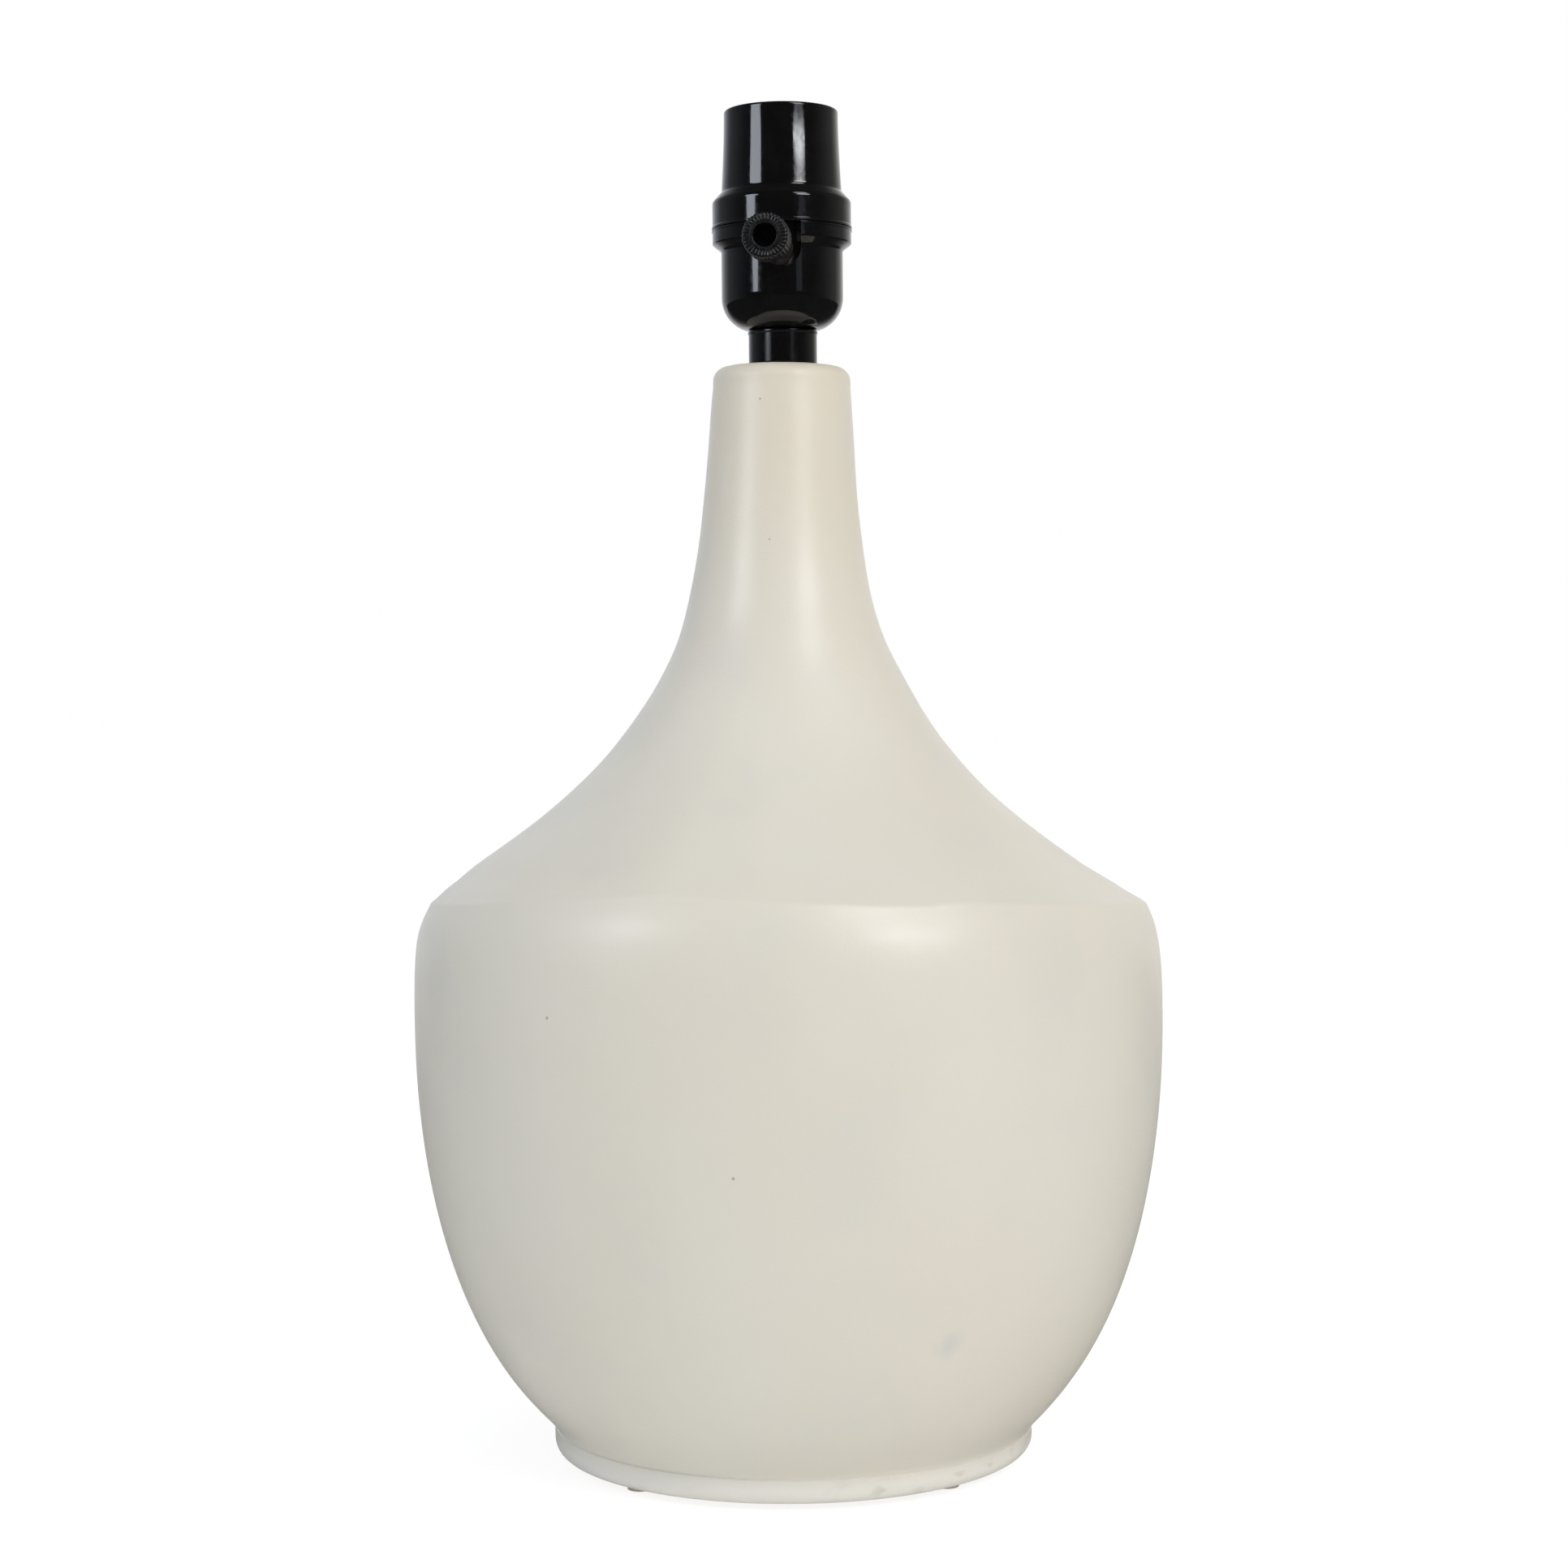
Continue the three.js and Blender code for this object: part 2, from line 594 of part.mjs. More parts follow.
// The slot that lets the switch's stem out, a U open at the cap's upper edge.
function stemNotch() {
  const shape = new THREE.Shape();
  shape.absarc(0, 0, NOTCH_RADIUS, Math.PI, 2 * Math.PI, false);
  shape.lineTo(NOTCH_RADIUS, AXIS_DROP + OVERRUN);
  shape.lineTo(-NOTCH_RADIUS, AXIS_DROP + OVERRUN);
  return toFront(plate(shape, 0, RING_RADIUS + OVERRUN)).translate(0, 0, AXIS_LEVEL);
}

function socketCap() {
  const ringFoot = CAP_TOP - RING_BELOW;
  const lip = RING_RADIUS + LIP_PROUD;
  const hubHole = HUB_RADIUS + SEAT_GAP;
  const profile = [
    [hubHole, CAP_LEVEL],
    [CAP_RADIUS, CAP_LEVEL, CAP_ROUNDING, 4],
    [CAP_RADIUS, ringFoot - RING_CHAMFER_BELOW, RING_FILLET, 2],
    [RING_RADIUS, ringFoot],
    [RING_RADIUS, CAP_TOP - LIP_HEIGHT],
    [lip, CAP_TOP - LIP_HEIGHT],
    [lip, CAP_TOP],
    [CAP_BORE, CAP_TOP],
    [CAP_BORE, CAP_FLOOR, CAP_ROUNDING - CAP_WALL],
    [hubHole, CAP_FLOOR],
  ];
  const pillarFoot = CAP_LEVEL + CAP_WALL / 2;
  const pillars = atBodyScrews(PILLAR_RADIUS, pillarFoot, PILLAR_TOP - pillarFoot);
  const depth = BODY_SCREW_GRIP + OVERRUN / 2;
  const holes = atBodyScrews(BODY_SCREW_HOLE, PILLAR_TOP - depth, depth + OVERRUN);
  return cut(join(turn(profile, SOCKET_SEGMENTS), ...pillars), stemNotch(), ...holes);
}

// Threaded insert in the cap's floor, with the screw that locks it to the pipe.
function capHub() {
  const height = CAP_LEVEL + HUB_SCREW_HEIGHT;
  const angle = THREE.MathUtils.degToRad(HUB_SCREW_ANGLE);
  const body = ring(PIPE_CLEARANCE_RADIUS, HUB_RADIUS, CAP_LEVEL, HUB_HEIGHT);
  const hole = rod(HUB_SCREW_RADIUS + SLIP_GAP, 0, HUB_RADIUS + OVERRUN);
  toBack(hole).rotateZ(-angle).translate(0, 0, height);
  place('cap_hub', cut(body, hole), materials.brass);
  const tip = PIPE_RADIUS + SEAT_GAP;
  const screw = toBack(rod(HUB_SCREW_RADIUS, tip, HUB_SCREW_LENGTH)).rotateZ(-angle);
  place('hub_screw', screw.translate(0, 0, height), materials.zinc);
}

function socketShell() {
  const lip = RING_RADIUS + LIP_PROUD;
  const ringTop = SHELL_LEVEL + RING_ABOVE;
  const tubeFoot = ringTop + SHOULDER_HEIGHT;
  const flareTop = tubeFoot + TUBE_FOOT_HEIGHT;
  const profile = [
    [CAP_BORE - SEAT_GAP, SHELL_LEVEL],
    [lip, SHELL_LEVEL],
    [lip, SHELL_LEVEL + LIP_HEIGHT],
    [RING_RADIUS, SHELL_LEVEL + LIP_HEIGHT],
    [RING_RADIUS, ringTop],
    [TUBE_FOOT_RADIUS, tubeFoot],
    [TUBE_FOOT_RADIUS, flareTop],
    [TUBE_FOOT_RADIUS - TUBE_FLARE, flareTop + TUBE_FLARE],
    [TUBE_TOP_RADIUS, RIM_LEVEL, RIM_ROUNDING],
    [TUBE_BORE, RIM_LEVEL, RIM_ROUNDING],
    [TUBE_BORE, WEB_TOP],
    [0, WEB_TOP],
    [0, WEB_LEVEL],
    [CAP_BORE - SEAT_GAP, WEB_LEVEL],
  ];
  const reach = WEB_THICKNESS + 2 * OVERRUN;
  const rivetHole = rod(RIVET_RADIUS + SLIP_GAP, WEB_LEVEL - OVERRUN, reach);
  const holes = atBodyScrews(BODY_SCREW_HOLE, WEB_LEVEL - OVERRUN, reach);
  turnedWithSwitch(rivetHole.translate(0, RIVET_OFFSET, 0));
  return cut(turn(profile, SOCKET_SEGMENTS), rivetHole, ...holes);
}

// Radius of the rolled sheet's inner face: a round thread that starts and ends without a step.
function threadRadius(angle, height, bottom) {
  const turns = (height - bottom) / THREAD_PITCH;
  const fade = THREE.MathUtils.smoothstep(Math.min(turns, THREAD_TURNS - turns), 0, 1 / 2);
  const wave = (1 - Math.cos(2 * Math.PI * turns - angle)) / 2;
  return THREAD_MAJOR_RADIUS - THREAD_DEPTH * fade * wave;
}

// The sheet's inner and outer faces at each height, closed by its top edge and its foot flange.
function screwShell() {
  const top = SCREW_SHELL_LEVEL + SCREW_SHELL_HEIGHT;
  const threadTop = top - SCREW_SHELL_COLLAR;
  const threadBottom = threadTop - THREAD_TURNS * THREAD_PITCH;
  const stepCount = THREAD_TURNS * THREAD_STEPS_PER_TURN;
  const heights = Array.from(
    { length: stepCount + 1 },
    (_, i) => threadBottom + (i * THREAD_PITCH) / THREAD_STEPS_PER_TURN,
  );
  const flangeTop = SCREW_SHELL_LEVEL + THREAD_SHEET;
  const inside = [flangeTop, ...heights, top];
  const outside = [SCREW_SHELL_LEVEL, ...heights, top];
  const loop = (angle) => [
    [SCREW_SHELL_FLANGE_BORE, SCREW_SHELL_LEVEL],
    ...outside.map((z) => [threadRadius(angle, z, threadBottom) + THREAD_SHEET, z]),
    ...inside.map((z) => [threadRadius(angle, z, threadBottom), z]).reverse(),
    [SCREW_SHELL_FLANGE_BORE, flangeTop],
  ];
  const geometry = sweptRound(loop, THREAD_SEGMENTS);
  const holes = atBodyScrews(BODY_SCREW_HOLE, SCREW_SHELL_LEVEL - OVERRUN / 2, OVERRUN);
  return cut(geometry, ...holes);
}

// A solid whose closed section changes as it goes once round the Z axis.
function sweptRound(loopAt, segments) {
  const positions = [];
  const index = [];
  for (let i = 0; i < segments; i++) {
    const angle = (i * 2 * Math.PI) / segments;
    const loop = loopAt(angle);
    const next = (i + 1) % segments;
    loop.forEach(([radius, height], j) => {
      positions.push(radius * Math.cos(angle), radius * Math.sin(angle), height);
      const a = i * loop.length + j;
      const b = i * loop.length + ((j + 1) % loop.length);
      const c = next * loop.length + ((j + 1) % loop.length);
      const d = next * loop.length + j;
      index.push(a, b, c, a, c, d);
    });
  }
  const geometry = new THREE.BufferGeometry();
  geometry.setAttribute('position', new THREE.Float32BufferAttribute(positions, 3));
  geometry.setIndex(index);
  return facingOut(geometry);
}

function bodyScrews() {
  const bottom = PILLAR_TOP - BODY_SCREW_GRIP;
  bodyScrewPlaces().forEach(({ x, y }, i) => {
    const shank = rod(BODY_SCREW_RADIUS, bottom, BODY_SCREW_SEAT - bottom, TINY_SEGMENTS);
    const head = turn([
      [0, BODY_SCREW_SEAT],
      [BODY_SCREW_HEAD_RADIUS, BODY_SCREW_SEAT],
      [BODY_SCREW_HEAD_RADIUS, BODY_SCREW_SEAT + BODY_SCREW_HEAD_HEIGHT, BODY_SCREW_HEAD_HEIGHT / 2],
      [0, BODY_SCREW_SEAT + BODY_SCREW_HEAD_HEIGHT],
    ], TINY_SEGMENTS);
    const screw = join(head, shank);
    place(`body_screw_${i + 1}`, screw, materials.zinc, switchFrame).position.set(x, y, 0);
  });
}

// A bent strip seen from the side, riveted at the back and humped under the bulb's contact.
function centreContact() {
  const bottom = WEB_TOP + LEAF_PLAY;
  const top = bottom + LEAF_SHEET;
  const tail = RIVET_OFFSET + LEAF_TAIL;
  const bend = RIVET_OFFSET - LEAF_TAIL;
  const strip = new THREE.Shape();
  strip.moveTo(-tail, bottom);
  strip.lineTo(-bend, bottom);
  strip.lineTo(-LEAF_SHEET, bottom + LEAF_RISE - LEAF_SHEET);
  strip.quadraticCurveTo(LEAF_TIP / 2, bottom + LEAF_RISE, LEAF_TIP, bottom + LEAF_TIP_HEIGHT);
  strip.lineTo(LEAF_TIP + LEAF_SHEET, bottom + LEAF_TIP_HEIGHT);
  strip.quadraticCurveTo(LEAF_TIP / 2, top + LEAF_RISE, -LEAF_SHEET, top + LEAF_RISE - LEAF_SHEET);
  strip.lineTo(-bend, top);
  strip.lineTo(-tail, top);
  strip.closePath();
  const sheet = plate(strip, -LEAF_WIDTH / 2, LEAF_WIDTH, LEAF_STEPS);
  const upright = sheet.rotateX(Math.PI / 2).rotateZ(-Math.PI / 2);
  const hole = rod(RIVET_RADIUS + LEAF_PLAY, bottom - OVERRUN / 2, OVERRUN, TINY_SEGMENTS);
  const leaf = cut(upright, hole.translate(0, RIVET_OFFSET, 0));
  place('centre_contact', leaf, materials.brass, switchFrame);
}

function contactRivet() {
  const bottom = WEB_LEVEL - SEAT_GAP - RIVET_HEAD_HEIGHT;
  const seat = WEB_TOP + LEAF_SHEET + 2 * LEAF_PLAY;
  const profile = [
    [0, bottom],
    [RIVET_HEAD_RADIUS, bottom],
    [RIVET_HEAD_RADIUS, bottom + RIVET_HEAD_HEIGHT],
    [RIVET_RADIUS, bottom + RIVET_HEAD_HEIGHT],
    [RIVET_RADIUS, seat],
    [RIVET_HEAD_RADIUS, seat],
    [RIVET_HEAD_RADIUS, seat + RIVET_HEAD_HEIGHT, RIVET_HEAD_HEIGHT / 2],
    [0, seat + RIVET_HEAD_HEIGHT],
  ];
  const rivet = place('contact_rivet', turn(profile, TINY_SEGMENTS), materials.brass, switchFrame);
  rivet.position.y = RIVET_OFFSET;
}

// Switch

// A pocket with a round bottom that the cam turns in, open at the housing's top.
function camPocket() {
  const shape = new THREE.Shape();
  shape.absarc(0, 0, POCKET_RADIUS, Math.PI, 2 * Math.PI, false);
  shape.lineTo(POCKET_RADIUS, HOUSING_TOP - AXIS_LEVEL + OVERRUN);
  shape.lineTo(-POCKET_RADIUS, HOUSING_TOP - AXIS_LEVEL + OVERRUN);
  const length = POCKET_BACK + POCKET_FRONT;
  return toFront(plate(shape, -POCKET_BACK, length)).translate(0, 0, AXIS_LEVEL);
}

function switchHousing() {
  const top = HOUSING_TOP + OVERRUN;
  const bay = [HOUSING_RADIUS + OVERRUN, TERMINAL_BAY_HALF_WIDTH];
  const bayFloor = HOUSING_LEVEL + TERMINAL_BAY_FLOOR;
  const channel = PLATE_LEG_HALF_WIDTH + SLIP_GAP;
  const legSeat = HOUSING_TOP - PLATE_SHEET - 2 * SEAT_GAP;
  const height = HOUSING_TOP - HOUSING_LEVEL;
  const body = rod(HOUSING_RADIUS, HOUSING_LEVEL, height, SOCKET_SEGMENTS);
  const boss = rod(HOUSING_BOSS_RADIUS, POCKET_FRONT, HOUSING_BOSS_REACH - POCKET_FRONT);
  const stem = rod(SHAFT_BORE, 0, HOUSING_BOSS_REACH + OVERRUN);
  const screwReach = TERMINAL_SCREW_LENGTH + SLIP_GAP;
  const threads = rod(TERMINAL_SCREW_RADIUS + SLIP_GAP, TERMINAL_FACE - screwReach, screwReach + OVERRUN);
  const sides = [1, -1].flatMap((side) => [
    block(
      [Math.min(side * TERMINAL_FACE, side * bay[0]), -bay[1], bayFloor],
      [Math.max(side * TERMINAL_FACE, side * bay[0]), bay[1], top],
    ),
    threads.clone().rotateY((side * Math.PI) / 2).translate(0, 0, AXIS_LEVEL),
  ]);
  const screwHoles = bodyScrewPlaces().map(({ x, y }) =>
    rod(BODY_SCREW_HOLE, HOUSING_LEVEL - OVERRUN, height + 2 * OVERRUN, TINY_SEGMENTS).translate(x, y, 0),
  );
  return cut(
    join(body, toFront(boss).translate(0, 0, AXIS_LEVEL)),
    camPocket(),
    toFront(stem).translate(0, 0, AXIS_LEVEL),
    block([-HOUSING_RADIUS, -channel, legSeat], [HOUSING_RADIUS, channel, top]),
    ...sides,
    ...screwHoles,
  );
}

// A plate behind the terminal screw with a leg that lies in the housing's top channel.
function terminal(name, side, plateMaterial) {
  const face = TERMINAL_FACE + SEAT_GAP;
  const legTop = HOUSING_TOP - SEAT_GAP;
  const bottom = HOUSING_LEVEL + TERMINAL_BAY_FLOOR + SEAT_GAP;
  const upright = block(
    [face, -PLATE_HALF_WIDTH, bottom],
    [face + PLATE_SHEET, PLATE_HALF_WIDTH, legTop],
  );
  const leg = block(
    [PLATE_LEG_REACH, -PLATE_LEG_HALF_WIDTH, legTop - PLATE_SHEET],
    [face + PLATE_SHEET, PLATE_LEG_HALF_WIDTH, legTop],
  );
  const hole = rod(TERMINAL_SCREW_RADIUS + SLIP_GAP, face - OVERRUN, 2 * OVERRUN);
  hole.rotateY(Math.PI / 2).translate(0, 0, AXIS_LEVEL);
  const bent = cut(join(upright, leg), hole);
  const seat = face + PLATE_SHEET + SEAT_GAP;
  const shank = rod(TERMINAL_SCREW_RADIUS, seat - TERMINAL_SCREW_LENGTH, TERMINAL_SCREW_LENGTH);
  const head = rod(TERMINAL_SCREW_HEAD_RADIUS, seat, TERMINAL_SCREW_HEAD_HEIGHT);
  const screw = join(head, shank).rotateY(Math.PI / 2).translate(0, 0, AXIS_LEVEL);
  const facing = side > 0 ? 0 : Math.PI;
  place(`terminal_plate_${name}`, bent.rotateZ(facing), plateMaterial, switchFrame);
  place(`terminal_screw_${name}`, screw.rotateZ(facing), plateMaterial, switchFrame);
}

// A detent cam whose edge swings between its lobes and the waists between them.
function camShape() {
  const count = CAM_LOBES * CAM_POINTS_PER_LOBE;
  const middle = (CAM_LOBE_RADIUS + CAM_WAIST_RADIUS) / 2;
  const swing = (CAM_LOBE_RADIUS - CAM_WAIST_RADIUS) / 2;
  const points = Array.from({ length: count }, (_, i) => {
    const angle = (i * 2 * Math.PI) / count;
    const radius = middle + swing * Math.cos(CAM_LOBES * angle);
    return new THREE.Vector2(radius * Math.cos(angle), radius * Math.sin(angle));
  });
  return withHole(new THREE.Shape(points), SHAFT_RADIUS + SLIP_GAP);
}

function switchWorks() {
  const shaftEnd = KNOB_BACK + KNOB_LENGTH - KNOB_RECESS_DEPTH - SHAFT_SETBACK;
  const shaft = rod(SHAFT_RADIUS, 0, shaftEnd);
  const cam = welded(plate(camShape(), -CAM_BACK, CAM_LENGTH, TINY_SEGMENTS));
  const back = -CAM_BACK - SEAT_GAP - BRIDGE_SHEET;
  const bridge = block(
    [-BRIDGE_LENGTH / 2, -BRIDGE_WIDTH / 2, back],
    [BRIDGE_LENGTH / 2, BRIDGE_WIDTH / 2, back + BRIDGE_SHEET],
  );
  place('switch_shaft', toFront(shaft), materials.zinc, knobAxis);
  place('switch_cam', toFront(cam), materials.urea, knobAxis);
  place('switch_bridge', toFront(bridge), materials.brass, knobAxis);
}

// Outline of the grip: rounded crests with narrow flutes between them.
function gripShape() {
  const pointsPerRib = 3;
  const count = KNOB_RIBS * pointsPerRib;
  const depthShares = [0, 0, 1];
  const points = Array.from({ length: count }, (_, i) => {
    const angle = (i * 2 * Math.PI) / count;
    const radius = KNOB_RADIUS - KNOB_RIB_DEPTH * depthShares[i % pointsPerRib];
    return new THREE.Vector2(radius * Math.cos(angle), radius * Math.sin(angle));
  });
  return withHole(new THREE.Shape(points), KNOB_RADIUS - 3 * KNOB_RIB_DEPTH);
}

function turnKnob() {
  const end = KNOB_BACK + KNOB_LENGTH;
  const headBack = end - KNOB_HEAD_LENGTH;
  const root = KNOB_RADIUS - KNOB_RIB_DEPTH;
  const bore = SHAFT_RADIUS + SLIP_GAP;
  const stemEnd = KNOB_BACK + KNOB_STEM_LENGTH;
  const core = turn([
    [bore, KNOB_BACK],
    [KNOB_STEM_RADIUS, KNOB_BACK, KNOB_ROUNDING],
    [KNOB_STEM_RADIUS, stemEnd, KNOB_HEAD_LENGTH / 2, 4],
    [root, headBack],
    [root, end, KNOB_ROUNDING, 2],
    [KNOB_RECESS_RADIUS, end, KNOB_ROUNDING, 2],
    [KNOB_RECESS_RADIUS, end - KNOB_RECESS_DEPTH],
    [bore, end - KNOB_RECESS_DEPTH],
  ], KNOB_SEGMENTS);
  const grip = plate(gripShape(), headBack - KNOB_SHOULDER, KNOB_HEAD_LENGTH - KNOB_ROUNDING);
  place('turn_knob', toFront(join(core, grip)), materials.phenolic, knobAxis);
}

place('ceramic_body', ceramicBody(), materials.glaze);
feltPads();
cordBushing();
lampPipe(floorClamp());
neckFittings();
place('socket_cap', socketCap(), materials.phenolic);
capHub();
place('socket_shell', socketShell(), materials.phenolic);
place('screw_shell', screwShell(), materials.aluminium);
bodyScrews();
centreContact();
contactRivet();
place('switch_housing', switchHousing(), materials.urea, switchFrame);
terminal('hot', 1, materials.brass);
terminal('neutral', -1, materials.nickel);
switchWorks();
turnKnob();

export default lamp;
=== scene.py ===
"""Ceramic table lamp: fine surfaces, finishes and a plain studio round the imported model."""

import json
import math

import bmesh
import bpy
from bpy.props import FloatProperty, FloatVectorProperty, IntProperty, PointerProperty
from mathutils import Matrix, Vector, noise


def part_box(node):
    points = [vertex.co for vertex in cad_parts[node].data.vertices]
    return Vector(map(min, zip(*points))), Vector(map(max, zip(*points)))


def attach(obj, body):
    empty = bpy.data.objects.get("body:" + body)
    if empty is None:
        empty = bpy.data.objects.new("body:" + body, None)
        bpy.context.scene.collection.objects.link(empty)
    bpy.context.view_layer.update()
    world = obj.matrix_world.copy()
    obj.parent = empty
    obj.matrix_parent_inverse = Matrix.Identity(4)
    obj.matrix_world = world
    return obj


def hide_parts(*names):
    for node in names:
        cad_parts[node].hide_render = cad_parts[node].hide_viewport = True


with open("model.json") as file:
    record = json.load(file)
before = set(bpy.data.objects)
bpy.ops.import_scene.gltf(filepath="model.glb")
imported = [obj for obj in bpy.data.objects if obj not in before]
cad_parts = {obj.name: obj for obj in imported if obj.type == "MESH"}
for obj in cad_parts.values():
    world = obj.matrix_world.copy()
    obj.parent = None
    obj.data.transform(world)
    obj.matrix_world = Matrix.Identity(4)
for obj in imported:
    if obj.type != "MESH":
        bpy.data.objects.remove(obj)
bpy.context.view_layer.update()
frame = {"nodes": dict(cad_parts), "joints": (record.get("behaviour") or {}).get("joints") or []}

bl_info = {
    "name": "Ceramic Table Lamp",
    "version": (1, 0, 0),
    "blender": (4, 5, 0),
    "location": "3D View > Sidebar > Lamp",
    "description": "Makes a ceramic table lamp with its glaze, its black bulb holder and a studio",
    "category": "Object",
}

MM = 0.001
SEAT_GAP = 0.2 * MM  # between faces that rest on each other
SLIP_GAP = 0.3 * MM  # round a rod in its hole
OVERRUN = 4 * MM  # how far a cutting shape passes the faces that it cuts
HOLD = 0.04 * MM  # from a rounding's end to the point that keeps the straight beside it straight
ARC_STEP = math.radians(9)
SHARP_EDGE = math.radians(35)
LEAN = 0.52  # degrees that the lamp leans to the left, while its rims stay level


def linear(hex_code):
    """An sRGB hex colour as linear red, green and blue."""
    shares = [int(hex_code[i : i + 2], 16) / 255 for i in (1, 3, 5)]
    return [s / 12.92 if s <= 0.04045 else ((s + 0.055) / 1.055) ** 2.4 for s in shares]


def smooth_step(value, low, high):
    """0 below the range, 1 above it and a smooth rise between."""
    share = min(max((value - low) / (high - low), 0), 1)
    return share * share * (3 - 2 * share)


def between(stations, place):
    """The value at a place, on a smooth run through (place, value) stations."""
    low, high = next((a, b) for a, b in zip(stations, stations[1:]) if a[0] <= place <= b[0])
    return low[1] + (high[1] - low[1]) * smooth_step(place, low[0], high[0])


def middle_of(node):
    """The middle of a node's box."""
    low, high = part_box(node)
    return (low + high) / 2


def span(node):
    """Bottom, top and outer radius of a node that is round about the lamp's axis."""
    low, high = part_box(node)
    return low.z, high.z, high.x


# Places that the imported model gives
BODY_BOTTOM, BODY_TOP, BELLY_RADIUS = span("ceramic_body")
SPIGOT_BOTTOM, SPACER_TOP, SPACER_LIP_RADIUS = span("neck_spacer")
CAP_BOTTOM, CAP_TOP, SEAM_RADIUS = span("socket_cap")
SHELL_BOTTOM, RIM_LEVEL, _ = span("socket_shell")
PIPE_BOTTOM, PIPE_TOP, PIPE_RADIUS = span("lamp_pipe")
PIPE_CLEARANCE = PIPE_RADIUS + SLIP_GAP
INLET_LEVEL = middle_of("cord_bushing").z
KNOB_JOINT = next(joint for joint in frame["joints"] if joint["name"] == "knob_turn")
AXIS_LEVEL = KNOB_JOINT["pos_m"][2]
SWITCH_TURN = math.atan2(KNOB_JOINT["axis"][0], -KNOB_JOINT["axis"][1])
TO_FRONT = Matrix.Rotation(math.pi / 2, 4, "X")
TO_BACK = Matrix.Rotation(-math.pi / 2, 4, "X")
TURNED = Matrix.Rotation(SWITCH_TURN, 4, "Z")
ON_KNOB_AXIS = Matrix.Translation((0, 0, AXIS_LEVEL)) @ TURNED @ TO_FRONT


# Settings


def length(name, millimetres, description):
    """A length property, kept in metres and given in millimetres."""
    return FloatProperty(
        name=name,
        description=description,
        default=millimetres * MM,
        min=0,
        unit="LENGTH",
        precision=4,
    )


def slope(name, degrees, description):
    """An angle property, kept in radians and given in degrees."""
    return FloatProperty(
        name=name, description=description, default=math.radians(degrees), subtype="ANGLE"
    )


def light_level(name, level, description):
    """A brightness property, on which 1 is white."""
    return FloatProperty(name=name, description=description, default=level, min=0)


def colour(name, hex_code, description):
    """A colour property with its default as an sRGB hex code."""
    return FloatVectorProperty(
        name=name, description=description, default=linear(hex_code), min=0, max=1, subtype="COLOR"
    )


class LampBodySizes(bpy.types.PropertyGroup):
    foot_radius: length("Foot radius", 69.6, "Outside of the foot ring")
    foot_height: length("Foot height", 7.3, "Height of the foot ring's band")
    foot_rounding: length("Foot rounding", 3.9, "Rounding of the foot ring's lower edge")
    foot_notch: length("Foot notch", 0.35, "Step in from the foot ring to the belly")
    belly_height: length("Belly height", 128.3, "Height of the widest place")
    crease_radius: length("Crease radius", 103.5, "Radius where belly and shoulder meet")
    crease_height: length("Crease height", 158.8, "Height where belly and shoulder meet")
    crease_rounding: length("Crease rounding", 2.4, "Rounding between belly and shoulder")
    throat_radius: length("Throat radius", 31.9, "Radius where the shoulder turns into the neck")
    throat_height: length("Throat height", 230.9, "Height where the shoulder turns into the neck")
    neck_radius: length("Neck radius", 19.9, "Outside of the neck at its top")
    neck_rounding: length("Neck rounding", 4, "Rounding of the neck's upper edge")
    neck_upright: length("Neck upright", 6, "Nearly straight stretch below the neck's top")
    wall: length("Wall", 6, "Thickness of the cast wall")
    mouth_radius: length("Mouth radius", 6.9, "Hole in the neck's top")
    mouth_depth: length("Mouth depth", 8, "Depth of the narrow hole in the neck's top")
    recess_radius: length("Recess radius", 56, "Hollow under the foot")
    recess_height: length("Recess height", 22.5, "Height of the hollow under the foot")
    recess_rounding: length("Recess rounding", 3, "Rounding of the hollow's upper corner")
    floor: length("Floor", 7, "Thickness of the floor above the hollow")
    pipe_hole: length("Pipe hole", 6, "Hole for the threaded pipe")
    inlet_hole: length("Inlet hole", 5.6, "Hole for the cord's bushing")
    crease_lift: length("Crease lift", 7.3, "How far the crease rises at the front and the back")


